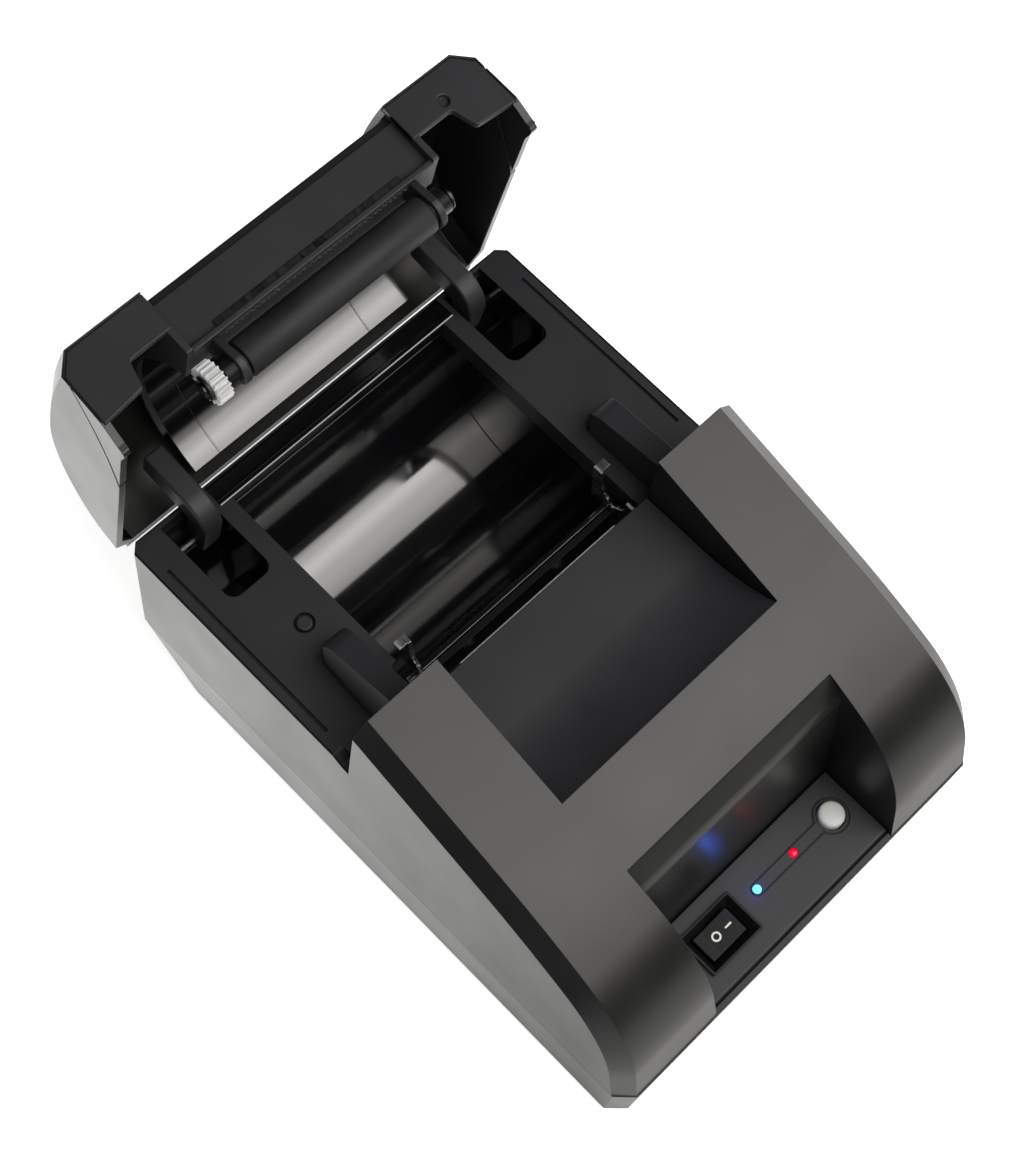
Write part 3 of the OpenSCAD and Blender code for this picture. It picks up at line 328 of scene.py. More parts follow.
class Shader:
    """Small helper that adds and links the nodes of one material."""

    def __init__(self, name):
        self.material = bpy.data.materials.new(name)
        self.material.use_nodes = True
        self.tree = self.material.node_tree
        self.surface = self.tree.nodes["Principled BSDF"]
        self.coords = self.node("ShaderNodeTexCoord").outputs["Object"]

    def node(self, kind, **values):
        made = self.tree.nodes.new(kind)
        for key, value in values.items():
            made.inputs[key.replace("_", " ")].default_value = value
        return made

    def link(self, source, target):
        self.tree.links.new(source, target)

    def feed(self, source, name):
        """Links a value to an input of the surface."""
        self.link(source, self.surface.inputs[name])

    def noise(self, scale, detail=4.0):
        made = self.node("ShaderNodeTexNoise", Scale=scale, Detail=detail)
        self.link(self.coords, made.inputs["Vector"])
        return made.outputs["Fac"]

    def carry(self, source, before, after):
        """Carries a value from the range before to the range after."""
        made = self.node(
            "ShaderNodeMapRange",
            From_Min=before[0],
            From_Max=before[1],
            To_Min=after[0],
            To_Max=after[1],
        )
        self.link(source, made.inputs["Value"])
        return made.outputs["Result"]

    def spread(self, source, low, high):
        """Carries a noise, which mostly stays between 0.3 and 0.7, to the range low to high."""
        return self.carry(source, (0.3, 0.7), (low, high))

    def tint(self, colour, source, low, high):
        """The base colour times a factor that a noise moves between low and high."""
        made = self.node("ShaderNodeMix")
        made.data_type = "RGBA"
        made.blend_type = "MULTIPLY"
        made.inputs["Factor"].default_value = 1.0
        made.inputs["A"].default_value = (*colour, 1)
        self.link(self.spread(source, low, high), made.inputs["B"])
        self.feed(made.outputs["Result"], "Base Color")

    def vary_roughness(self, source, low, high):
        self.feed(self.spread(source, low, high), "Roughness")

    def relief(self, source, strength, distance, edge=0.25):
        """Bump from a height, over edges that are rounded by the given radius."""
        corner = self.node("ShaderNodeBevel", Radius=edge * MM)
        corner.samples = 4
        bump = self.node("ShaderNodeBump", Strength=strength, Distance=distance * MM)
        self.link(source, bump.inputs["Height"])
        self.link(corner.outputs["Normal"], bump.inputs["Normal"])
        self.feed(bump.outputs["Normal"], "Normal")

    def set(self, **values):
        for key, value in values.items():
            self.surface.inputs[key.replace("_", " ")].default_value = value


def plastic(name, colour, roughness, grain, bump, edge=0.25, shine=0.5, painted_shade_reach=0.0, ior=1.5):
    """Moulded plastic: fine texture, patches of slightly different sheen, faint handling marks.

    The occlusion reach in millimetres sets how far into corners and cavities the sheen fades: painted
    shade where shade would fall.
    """
    shader = Shader(name)
    patches = shader.noise(45.0, 5.0)
    fine = shader.noise(grain, 2.0)
    shader.tint(colour, patches, 0.9, 1.1)
    shader.vary_roughness(patches, roughness - 0.03, roughness + 0.04)
    shader.relief(fine, bump, 0.03, edge)
    shader.set(Specular_IOR_Level=shine, IOR=ior)
    # Painted shade: ambient occlusion dims the sheen in corners and cavities.
    if painted_shade_reach:
        shade = shader.node("ShaderNodeAmbientOcclusion", Distance=painted_shade_reach * MM)
        shade.samples = 6
        sheen = shader.carry(shade.outputs["AO"], (0.25, 0.8), (0.02, shine))
        shader.feed(sheen, "Specular IOR Level")
    return shader.material


def metal(name, colour, roughness, stretch):
    """Rolled or drawn metal: streaks along one direction over a fine grain."""
    shader = Shader(name)
    squeeze = shader.node("ShaderNodeMapping")
    squeeze.inputs["Scale"].default_value = stretch
    shader.link(shader.coords, squeeze.inputs["Vector"])
    streaks = shader.node("ShaderNodeTexNoise", Scale=900.0, Detail=3.0)
    shader.link(squeeze.outputs["Vector"], streaks.inputs["Vector"])
    shader.tint(colour, streaks.outputs["Fac"], 0.82, 1.08)
    shader.vary_roughness(streaks.outputs["Fac"], roughness - 0.08, roughness + 0.1)
    shader.relief(streaks.outputs["Fac"], 0.25, 0.01, 0.12)
    shader.set(Metallic=1.0)
    return shader.material


def rubber(name, colour, roughness):
    """Ground rubber: dense fine grain and dusty patches."""
    shader = Shader(name)
    grain = shader.noise(5200.0, 3.0)
    dust = shader.noise(120.0, 6.0)
    shader.tint(colour, dust, 0.75, 1.3)
    shader.vary_roughness(dust, roughness - 0.06, roughness + 0.06)
    shader.relief(grain, 0.35, 0.03, 0.2)
    shader.set(Specular_IOR_Level=0.35)
    return shader.material


def solder_mask(name):
    """Circuit board lacquer with darker copper areas showing through."""
    shader = Shader(name)
    cells = shader.node("ShaderNodeTexVoronoi", Scale=260.0)
    shader.link(shader.coords, cells.inputs["Vector"])
    shader.tint((0.02, 0.13, 0.06), cells.outputs["Distance"], 0.7, 1.2)
    shader.relief(cells.outputs["Distance"], 0.2, 0.02, 0.1)
    shader.set(Roughness=0.3)
    return shader.material


def lamp(name, colour, strength):
    """Lit lens: brightest in the middle of its dome, with frosted speckle."""
    shader = Shader(name)
    facing = shader.node("ShaderNodeLayerWeight", Blend=0.35)
    glow = shader.carry(facing.outputs["Facing"], (0, 1), (strength, strength * 0.25))
    shader.feed(glow, "Emission Strength")
    shader.relief(shader.noise(2500.0), 0.3, 0.03, 0.1)
    shader.set(Base_Color=(*colour, 1), Emission_Color=(*colour, 1), Roughness=0.2)
    return shader.material


# case_black and case_dark carry painted shade: their sheen fades in hollows through occlusion.
case_black = plastic("case_black", (0.008, 0.0078, 0.0076), 0.33, 2600.0, 0.09, painted_shade_reach=22.0)
case_dark = plastic(
    "case_dark", (0.019, 0.0185, 0.022), 0.48, 1900.0, 0.2, shine=0.42, painted_shade_reach=6.0
)
gloss_black = plastic(
    "gloss_black", (0.004, 0.004, 0.005), 0.09, 900.0, 0.02, shine=1.0, ior=1.65
)
switch_black = plastic("switch_black", (0.006, 0.006, 0.007), 0.34, 2200.0, 0.1, shine=0.22)
white_nylon = plastic("white_nylon", (0.6, 0.6, 0.6), 0.42, 1500.0, 0.1, 0.12)
button_white = plastic("button_white", (0.56, 0.555, 0.55), 0.35, 1500.0, 0.05)
mark_white = plastic("mark_white", (0.8, 0.8, 0.8), 0.5, 2500.0, 0.1, 0.02)
ceramic = plastic("ceramic", (0.72, 0.73, 0.7), 0.25, 1200.0, 0.05, 0.05)
steel = metal("steel", (0.72, 0.73, 0.75), 0.24, (1.0, 0.08, 1.0))
dark_steel = metal("dark_steel", (0.07, 0.07, 0.075), 0.32, (1.0, 0.08, 1.0))
aluminium = metal("aluminium", (0.75, 0.76, 0.78), 0.34, (0.06, 1.0, 1.0))
platen_black = rubber("platen_black", (0.014, 0.014, 0.015), 0.55)
foot_black = rubber("foot_black", (0.02, 0.02, 0.02), 0.7)
board_green = solder_mask("board_green")
lamp_blue = lamp("lamp_blue", (0.1, 0.52, 1.0), 2.2)
lamp_red = lamp("lamp_red", (1.0, 0.0, 0.03), 0.9)


# ---------- crowned shells ----------


def half_at(z):
    """Half the width of the drafted case and lid at a height."""
    return half_w - (z - seam_z) * math.tan(draft)


def crowned(crown, tail, inset=0.0, upright_end="rear"):
    """Closed body with drafted sides and a 45 degree strip between its crown and its sides.

    crown runs from the front to the rear; tail carries on round to below the crown's start.
    The crown meets an upright face at one end and a level one at the other.
    """
    top = []
    side = []
    last = len(crown) - 1
    upright = last if upright_end == "rear" else 0
    for i, (y, z) in enumerate(crown):
        before = Vector(crown[max(i - 1, 0)])
        after = Vector(crown[min(i + 1, last)])
        run = (after - before).normalized()
        if i == upright:
            drop = (0, -bevel / run[0])
        elif i == last - upright:
            drop = (bevel / run[1], 0)
        else:
            drop = (bevel * run[1], -bevel * run[0])
        top.append((half_at(z) - bevel - inset * (math.sqrt(2) - 1), y, z))
        side.append((half_at(z + drop[1]) - inset, y + drop[0], z + drop[1]))
    end = [(half_at(z) - inset, y, z) for y, z in tail]
    ring = top + side + end
    count = len(ring)
    points = ring + [(-x, y, z) for x, y, z in ring]
    n = len(top)
    faces = []
    for i in range(n - 1):
        faces.append((i, i + 1, count + i + 1, count + i))
        for shift in (0, count):
            faces.append((shift + i, shift + i + 1, shift + n + i + 1, shift + n + i))
    for shift in (0, count):
        faces.append(tuple(shift + n + i for i in range(count - n)))
    m = 2 * n - 1
    faces.append((n - 1, m, m + 1, count + m + 1, count + m, count + n - 1))
    for i in range(2 * n, count - 1):
        faces.append((i, i + 1, count + i + 1, count + i))
    faces.append((count - 1, n, 0, count, count + n, 2 * count - 1))
    return new_object("crowned", points, faces)


top_slope = 16.0
knee_slope = 26.0
nose_slope = 76.0
knee_y = split_y - 43.5
knee_r = 196.0
nose_r = 41.0
crown_tan = math.tan(math.radians(top_slope))


def crown_z(y):
    """Height of the straight rear run of the front shell."""
    return shell_z - (split_y - y) * crown_tan


def shell_crown(inset=0.0, low=None):
    low = seam_z if low is None else low
    knee_c = Vector((knee_y, crown_z(knee_y))) + knee_r * Vector(
        (math.sin(math.radians(top_slope)), -math.cos(math.radians(top_slope)))
    )
    nose_c = knee_c + (knee_r - nose_r) * Vector(
        (-math.sin(math.radians(knee_slope)), math.cos(math.radians(knee_slope)))
    )
    nose = arc(nose_c, nose_r - inset, 90 + nose_slope, 90 + knee_slope, 26)
    knee = arc(knee_c, knee_r - inset, 90 + knee_slope, 90 + top_slope, 8)
    start_y = nose[0][0] - (nose[0][1] - low) / math.tan(math.radians(nose_slope))
    end = (split_y, shell_z - inset / math.cos(math.radians(top_slope)))
    return [(start_y, low)] + nose + knee[1:] + [end]


cover_t = 2.0
cover_z = cover_low.z + cover_t
cover_flat_y = split_y - 19.5
cover_front_y = cover_low.y
cover_run = cover_flat_y - cover_front_y
cover_sag = crown_z(cover_front_y) - 0.3 - cover_z
cover_r = (cover_run**2 + cover_sag**2) / (2 * cover_sag)
cover_sweep = math.degrees(math.asin(cover_run / cover_r))


def cover_line(drop):
    """Line of the head cover from its rear edge to its front edge, lowered by drop."""
    centre = (cover_flat_y, cover_z + cover_r)
    curve = arc(centre, cover_r + drop, -90, -90 - cover_sweep, 14)
    return [(split_y, cover_z - drop)] + curve


def recess_outline(grow=0.0, lip=3.5):
    """Room above the control panel: floor, leaning back wall and a rolled edge into the crown."""
    top_y = front_y + 36.0
    ahead_y = front_y - 12.0
    crown = shell_crown()
    index = min(range(len(crown)), key=lambda i: abs(crown[i][0] - top_y))
    edge = Vector(crown[index])
    along = (Vector(crown[index + 1]) - Vector(crown[index - 1])).normalized()
    clear = edge + Matrix.Rotation(math.radians(12), 2) @ along * 22
    floor = panel_z - 2.0 - grow
    return rounded(
        [
            (ahead_y, floor, 0),
            (recess_back_y + grow, floor, 0),
            (recess_back_y + 7.2 + grow, edge[1] - 6.5, 9),
            (edge[0] + grow, edge[1], lip),
            (clear[0], clear[1], 0),
            (ahead_y, clear[1] + 20, 0),
        ],
        steps=12,
    )


def recess_tool(grow=0.0):
    """The room above the control panel, its side walls leaning outwards towards the top."""
    half = recess_half + grow
    tool = prism(recess_outline(grow), "x", -half, half)
    for vertex in tool.data.vertices:
        rise = max(vertex.co.z / MM - panel_z, 0)
        vertex.co.x += math.copysign(rise * recess_flare * MM, vertex.co.x)
    return tool


# ---------- case ----------


def corner_cut(z0, z1):
    """Tool that takes off the rear corner on the right."""
    past = 6
    outline = [
        (half_w - rear_corner - 1, rear_y + 1),
        (half_w + past, rear_y + 1),
        (half_w + past, rear_y - rear_corner - past),
    ]
    return prism(outline, "z", z0, z1)


def finger_notch(x0):
    """Small scoop where deck, side wall and front shell meet."""
    outline = rounded(
        [
            (split_y, deck_z - 1.5, 0),
            (split_y + 2.5, deck_z - 1.4, 2.0),
            (split_y + 5.5, deck_z, 3.0),
            (split_y + 9.0, deck_z + 0.02, 0),
            (split_y + 9.0, deck_z + 2, 0),
            (split_y, deck_z + 2, 0),
        ]
    )
    return prism(outline, "x", x0, half_w + 1)


def shell_cheek():
    """Wall beside the head cover."""
    roof = shell_z + 20
    outline = cover_line(cover_t + 2) + [(cover_front_y - 4, roof), (split_y + 3, roof)]
    return prism(outline, "x", inlay_half - 2, inlay_half + wall)


def build_upper_case():
    roof = shell_z + 20
    foot = seam_z - 8
    shell = crowned(shell_crown(0, foot), [(split_y, deck_z), (rear_y, deck_z), (rear_y, foot)])
    room = crowned(
        shell_crown(wall, foot),
        [(split_y, roof), (rear_y - wall, roof), (rear_y - wall, foot)],
        wall,
    )
    cut(shell, block((-half_w - 5, front_y - 5, foot - 1), (half_w + 5, rear_y + 5, seam_z)))
    cut(room, *mirrored(shell_cheek))
    cut(room, block((-inlay_half, cover_front_y - wall, 50), (inlay_half, cover_front_y, roof)))
    cut(room, recess_tool(wall))
    cut(shell, room)
    cut(shell, *mirrored(corner_cut, 0, 100))
    cut(shell, recess_tool())
    opening_outline = cover_line(cover_t)[:-1] + [
        (cover_front_y, cover_line(cover_t)[-1][1]),
        (cover_front_y, roof),
        (split_y + 5, roof),
        (split_y + 5, cover_z - cover_t),
    ]
    cut(shell, prism(opening_outline, "x", -inlay_half, inlay_half))
    rim = half_at(deck_z) - 0.5
    cut(shell, block((-rim, split_y, deck_z - deck_t), (rim, rear_y - 0.5, deck_z + 5)))
    cut(shell, *mirrored(finger_notch, half_w - 4))
    round_edges(shell, 0.35)
    return place(shell, "upper_case_shell", "base", case_black, "case", "upper_case")


tray_back_y = rear_y - 19.0


def tray_ring(z, inset):
    """Plan of the base tray at one height; its rear leans out towards the seam."""
    slope = (rear_y - 0.5 - tray_back_y) / (seam_z - tray_low.z)
    back = tray_back_y + (z - tray_low.z) * slope - inset
    x = half_w - inset
    y = front_y + inset
    right = [(x - bevel, y), (x, y + bevel), (x, back - rear_corner), (x - rear_corner, back)]
    left = [(-a, b) for a, b in reversed(right)]
    return [(a, b, z) for a, b in right + left]


def build_base_tray():
    low = tray_low.z
    rings = [tray_ring(low, 1.0), tray_ring(low + 0.8, 0.3), tray_ring(seam_z - seam_gap, 0.0)]
    count = len(rings[0])
    points = [p for ring in rings for p in ring]
    faces = [tuple(range(count)), tuple(2 * count + i for i in range(count))]
    for k in range(len(rings) - 1):
        for i in range(count):
            j = (i + 1) % count
            faces.append((k * count + i, k * count + j, (k + 1) * count + j, (k + 1) * count + i))
    tray = new_object("tray", points, faces)
    side = half_w - wall
    front = front_y + wall
    corner = bevel - (2 - math.sqrt(2)) * wall
    room = [(side - corner, front), (side, front + corner), (side, tray_back_y - 4)]
    room += [(-x, y) for x, y in reversed(room)]
    cut(tray, prism(room, "z", low + 2, seam_z + 1))
    bay_x = 34
    cut(tray, block((-bay_x, tray_back_y - 0.2, low - 2), (bay_x, rear_y + 5, 19)))
    for name in ("dc_jack", "usb_port", "drawer_port"):
        socket_low, socket_high = box_mm(name)
        slack = 0.2
        hole = rounded_box(
            (socket_low.x - slack, socket_low.z - slack),
            (socket_high.x + slack, socket_high.z + slack),
            0.8,
        )
        cut(tray, prism(hole, "y", tray_back_y - 16, tray_back_y + 4))
    slot_pitch = 9
    slot_half = 1.2
    for i in range(-3, 4):
        x = i * slot_pitch
        cut(tray, block((x - slot_half, -40, low - 2), (x + slot_half, -16, low + 4)))
    round_edges(tray, 0.35)
    return place(tray, "base_tray_shell", "base", case_black, "case", "base_tray")


def build_head_cover():
    half = inlay_half - 0.2
    outline = cover_line(0) + list(reversed(cover_line(cover_t)))
    cover = prism(outline, "x", -half, half)
    round_edges(cover, 0.25)
    return place(cover, "head_cover_plate", "base", case_dark, "dark", "head_cover")


# ---------- deck and bay ----------

well_floor_z = deck_z - 18.5
ramp_in = 42.0
ramp_out = 51.0
ramp_nose_y = split_y + 27.1
ramp_z = deck_z + 10.0
pocket_in = 42.0
pocket_out = 55.6
pocket_front_y = hinge[1] - 22.6
pocket_rear_y = rear_y - 1.2
groove_x = half_w - 4.8
plunger = middle("lid_sensor_plunger")
plunger_r = 2.1


def build_ramp():
    """Long rounded rib that the lid's wing drops over."""
    side = rounded(
        [
            (split_y - 3, deck_z - 1, 0),
            (ramp_nose_y, deck_z - 1, 0),
            (ramp_nose_y - 1.2, ramp_z, 5.5),
            (split_y - 3, ramp_z + 4, 0),
        ]
    )
    lean_in = 1.0
    lean_out = 5.0
    section = [
        (ramp_in, deck_z - 1),
        (ramp_out + 1, deck_z - 1),
        (ramp_out + 1 - lean_out, ramp_z + 12),
        (ramp_in + lean_in, ramp_z + 12),
    ]
    nose_r = 4.0
    plan = rounded(
        [
            (ramp_in, split_y - 4, 0),
            (ramp_out + 1, split_y - 4, 0),
            (ramp_out - 0.6, ramp_nose_y, nose_r),
            (ramp_in, ramp_nose_y, nose_r),
        ]
    )
    ramp = prism(side, "x", ramp_in - 2, ramp_out + 2)
    keep(ramp, prism(section, "y", split_y - 3, ramp_nose_y + 2))
    keep(ramp, prism(plan, "z", deck_z - 2, ramp_z + 20))
    round_edges(ramp, 1.1, 4, 24)
    bake(ramp)
    clean(ramp)
    return ramp


def pocket(grow, low, high):
    """Tool for the open-ended pocket of a hinge arm, widened by grow."""
    front = (pocket_in - grow, pocket_front_y - grow)
    rear = (pocket_out + grow, pocket_rear_y)
    return prism(rounded_box(front, rear, 3.0, 0), "z", low, high)


def groove_tool():
    """Narrow groove along the side of the deck."""
    half = 0.45
    short = 11
    front = (groove_x - half, split_y + short)
    rear = (groove_x + half, rear_y - short)
    return prism(rounded_box(front, rear, 0.4), "z", deck_z - 0.8, deck_z + 1)


def bulkhead():
    """Wall that closes the wing of the front shell, just inside its rear edge."""
    inset = wall + 0.05
    low = deck_z - deck_t
    body = crowned(shell_crown(inset), [(split_y, low), (split_y, seam_z)], inset)
    window = block((inlay_half + wall, split_y - 3, low), (half_w, split_y - 1, shell_z + 5))
    return keep(body, window)


def build_deck():
    margin = 0.55
    half = half_at(deck_z) - margin
    rim = bay_half + tub_wall
    land = pocket_in - tub_wall
    bay_rear = roll_y + roll_r
    deck = block((-half, split_y, deck_z - deck_t), (half, rear_y - margin, deck_z))
    add(deck, block((-rim, split_y, deck_z - 7), (rim, bay_rear + tub_wall, deck_z)))
    cut(deck, *mirrored(pocket, 0, well_floor_z, deck_z + 5))
    # The deck strip behind the bay is cut away and the tub's glossy black lip fills it: painted shade
    # for the shadow under the open lid.
    cut(deck, block((-land, bay_rear, deck_z - 9), (land, rear_y, deck_z + 1)))
    cut(deck, block((-bay_half, split_y - 1, 0), (bay_half, bay_rear, deck_z + 5)))
    cut(deck, block((-ramp_in, split_y - 1, 0), (0, split_y + 13, deck_z + 5)))
    cut(deck, *mirrored(corner_cut, 0, 100))
    cut(deck, *mirrored(finger_notch, half_w - 5))
    cut(deck, *mirrored(groove_tool))
    cut(deck, prism(circle(plunger.xy, plunger_r + 0.65), "z", deck_z - 1.2, deck_z + 1))
    add(deck, *mirrored(build_ramp))
    round_edges(deck, 0.3, 3, 35)
    place(deck, "deck_plate", "base", case_dark, "dark", "deck_frame")
    place_pair(bulkhead, "wing_bulkhead_", "base", case_dark, "dark", soften)
    # The pocket linings are glossy black: painted shade that keeps the pockets as dark as their
    # shadow.
    place_pair(well, "hinge_well_", "base", gloss_black, "gloss", smooth)


def well():
    """Lining of the pocket that the lid's arm swings in."""
    well_wall = 1.5
    shell = pocket(well_wall, well_floor_z - well_wall, deck_z - 0.5)
    return cut(shell, pocket(-0.02, well_floor_z, deck_z + 5))


def build_plunger():
    r = plunger_r
    stem = lathe([(r, -9), (r, -0.35), (r - 0.3, -0.05), (r - 0.9, 0.0)], "plunger")
    move(stem, plunger.x, plunger.y, deck_z)
    round_edges(stem, 0.1)
    place(stem, "lid_plunger", "plunger", case_dark, "dark", "lid_sensor_plunger")


def build_tub():
    """Glossy half-round trough, its straight rear wall and two end walls."""
    top = deck_z - 2.0
    lip = deck_z + 0.25
    bay_front = roll_y - roll_r
    bay_rear = roll_y + roll_r
    rear_wall = [
        (bay_rear, top - 3.2),
        (bay_rear + 0.7, top - 2.6),
        (bay_rear + 0.7, top),
        (bay_rear + 1.4, top + 0.4),
        (bay_rear + tub_wall, top),
    ]
    outline = [(bay_front, roll_z + 1)] + arc((roll_y, roll_z), roll_r, 180, 360, 72) + rear_wall
    outline += arc((roll_y, roll_z), roll_r + tub_wall, 360, 180, 72)
    outline.append((bay_front - tub_wall, roll_z + 1))
    trough = prism(outline, "x", -bay_half, bay_half)
    round_edges(trough, 0.18)
    place(trough, "paper_trough", "base", gloss_black, "gloss", "paper_tub")
    # The glossy black lip bar runs back over the deck strip behind the bay: partly the tub's real
    # rim, partly painted shade for the shadow under the open lid.
    section = rounded(
        [
            (bay_rear - 0.2, lip - 4, 0),
            (pocket_rear_y, lip - 4, 0),
            (pocket_rear_y, lip - 0.9, 0),
            (bay_rear + 2.4, lip - 0.9, 0),
            (bay_rear + 1.5, lip, 0.7),
            (bay_rear - 0.2, lip, 0.7),
        ],
        8,
    )
    bar = prism(section, "x", -pocket_in + 1.55, pocket_in - 1.55)
    smooth(bar)
    place(bar, "bay_rear_lip", "base", gloss_black, "gloss")
    place_pair(tub_end, "bay_end_wall_", "base", gloss_black, "gloss", soften)


def tub_end():
    outline = arc((roll_y, roll_z), roll_r + tub_wall, 180, 360, 48) + [
        (roll_y + roll_r + tub_wall, deck_z - 7.2),
        (roll_y - roll_r - tub_wall + 5, deck_z - 7.2),
    ]
    return prism(outline, "x", bay_half, bay_half + tub_wall)


# ---------- control panel ----------

button = middle("feed_button")
button_r = 3.6
blue = middle("power_led")
red = middle("status_led")
housing_low, housing_high = box_mm("switch_housing")
rocker_pivot = Vector(joint("power_rock")["pos_m"]) / MM
socket_half = (6.7, 4.1)


def keyhole(ring, track):
    """Outline round the button that runs on along the two lamps."""
    meet = math.degrees(math.asin(track / ring))
    around = arc(button.xy, ring, 180 + meet, 540 - meet, 40)
    end = arc(blue.xy, track, 90, 270, 14)
    return around + end


def build_control_panel():
    x = recess_half - 0.1
    outline = rounded(
        [
            (recess_back_y - 0.1, seam_z + 0.1, 0),
            (recess_back_y - 0.1, panel_z, 0),
            (front_y + 2.1, panel_z, 0.9),
            (front_y + 2.1, seam_z + 0.1, 0),
        ]
    )
    panel = prism(outline, "x", -x, x)
    line = 0.45
    ring = button_r + 1.05
    track = 1.45
    groove = prism(keyhole(ring + line, track + line), "z", panel_z - 0.35, panel_z + 1)
    cut(groove, prism(keyhole(ring, track), "z", panel_z - 1, panel_z + 2))
    cut(panel, groove)
    cut(panel, prism(circle(button.xy, button_r + 0.35, 60), "z", 0, 60))
    for spot in (blue, red):
        cut(panel, prism(circle(spot.xy, 1.3, 32), "z", 0, 60))
    rest = 0.8
    window_low = (housing_low.x + rest, housing_low.y + rest, 0)
    window_high = (housing_high.x - rest, housing_high.y - rest, 60)
    cut(panel, block(window_low, window_high))
    lip_z = panel_z - 0.4
    lip_outline = [
        (front_y + 0.3, seam_z),
        (front_y + 1.7, seam_z),
        (front_y + 1.7, lip_z),
        (front_y + 1.0, lip_z),
    ]
    lip = prism(lip_outline, "x", -x, x)
    round_edges(panel, 0.12, 2)
    place(panel, "control_panel_plate", "base", case_dark, "dark", "control_panel")
    round_edges(lip, 0.1, 2)
    place(lip, "control_panel_lip", "base", case_dark, "dark")


def build_button():
    r = button_r
    proud = 0.9
    dome = [(r, -4.6), (r, proud)]
    for i in range(1, 5):
        a = 0.35 * i
        dome.append((r - 1 + math.cos(a), proud + math.sin(a)))
    dome += [(r * 0.5, 2.05), (0.2, 2.1)]
    cap = lathe(dome, "cap", 72)
    move(cap, button.x, button.y, panel_z)
    smooth(cap, 50)
    place(cap, "feed_button_cap", "button", button_white, "white", "feed_button")


def build_lamp(spot, name, material, slot, node):
    dome = [(1.2, -4), (1.2, -0.1), (1.0, 0.22), (0.6, 0.42), (0.1, 0.5)]
    lens = lathe(dome, name, 40)
    move(lens, spot.x, spot.y, panel_z)
    smooth(lens, 50)
    place(lens, name, "base", material, slot, node)


def build_switch():
    low, high = housing_low, housing_high
    top = high.z
    bezel = block((low.x, low.y, panel_z + 0.03), (high.x, high.y, top))
    add(bezel, block((low.x + 1, low.y + 1, 10), (high.x - 1, high.y - 1, panel_z + 0.5)))
    cx, cy = rocker_pivot.x, rocker_pivot.y
    sx, sy = socket_half
    mouth = rounded_box((cx - sx, cy - sy), (cx + sx, cy + sy), 0.5)
    cut(bezel, prism(mouth, "z", 14, 60))
    cut(bezel, funnel(cx, cy, sx, sy, panel_z - 1.2, top))
    round_edges(bezel, 0.12, 2)
    place(bezel, "switch_bezel", "base", switch_black, "gloss", "switch_housing")


def funnel(cx, cy, sx, sy, low, high):
    """Sloping inside of the switch bezel, from its rim down to the rocker."""
    flare = 1.75
    points = []
    for grow, z in ((0.1, low), (flare, high + 0.01)):
        for a, b in ((-1, -1), (1, -1), (1, 1), (-1, 1)):
            points.append((cx + a * (sx + grow), cy + b * (sy + grow), z))
    faces = [(0, 1, 2, 3), (4, 5, 6, 7), (0, 1, 5, 4), (1, 2, 6, 5), (2, 3, 7, 6), (3, 0, 4, 7)]
    return new_object("funnel", points, faces)


def on_rocker(obj):
    """Tips a piece drawn round the level rocker's pivot to the pressed position."""
    tip = Matrix.Rotation(math.radians(-8.0), 4, "Y")
    obj.data.transform(Matrix.Translation(rocker_pivot * MM) @ tip)
    return obj


def build_rocker():
    half = socket_half[0] - 0.6
    crest = 2.9
    valley = 1.9
    fold = -3.4
    profile = rounded(
        [
            (-half, crest, 0.3),
            (fold, valley, 1.2),
            (half, crest, 0.5),
            (half - 0.5, 0, 0),
            (3, -3.4, 0),
            (-3, -3.4, 0),
            (-half + 0.5, 0, 0),
        ],
        8,
    )
    paddle = on_rocker(prism(profile, "y", -3.85, 3.85))
    round_edges(paddle, 0.22, 3)
    place(paddle, "rocker_paddle", "rocker", switch_black, "gloss", "power_rocker")
    slope = math.atan((crest - valley) / (half - fold))
    onto_face = Matrix.Translation(Vector((fold, 0, valley)) * MM) @ Matrix.Rotation(-slope, 4, "Y")
    ring = tube(1.3, 0.8, -0.2, 0.04)
    ring.data.transform(onto_face @ Matrix.Translation(Vector((2.5, 0.2, 0)) * MM))
    place(on_rocker(ring), "mark_off", "rocker", mark_white, "white")
    bar = block((5.6, -0.1, -0.2), (7.7, 0.4, 0.04))
    bar.data.transform(onto_face)
    place(on_rocker(bar), "mark_on", "rocker", mark_white, "white")


def tube(outer, inner, low, high):
    ring = prism(circle((0, 0), outer), "z", low, high)
    return cut(ring, prism(circle((0, 0), inner), "z", low - 1, high + 1))


# ---------- lid ----------

lid_front_y = lid_low.y
rim_z = lid_low.z
lid_z = lid_high.z
lid_wall = 2.0
crest_slope = 13.0
crest_r = (roll_y - lid_front_y) / math.sin(math.radians(crest_slope))
brow_r = 45.0
brow_slope = 45.0
tail_r = 22.0
tail_slope = 80.0


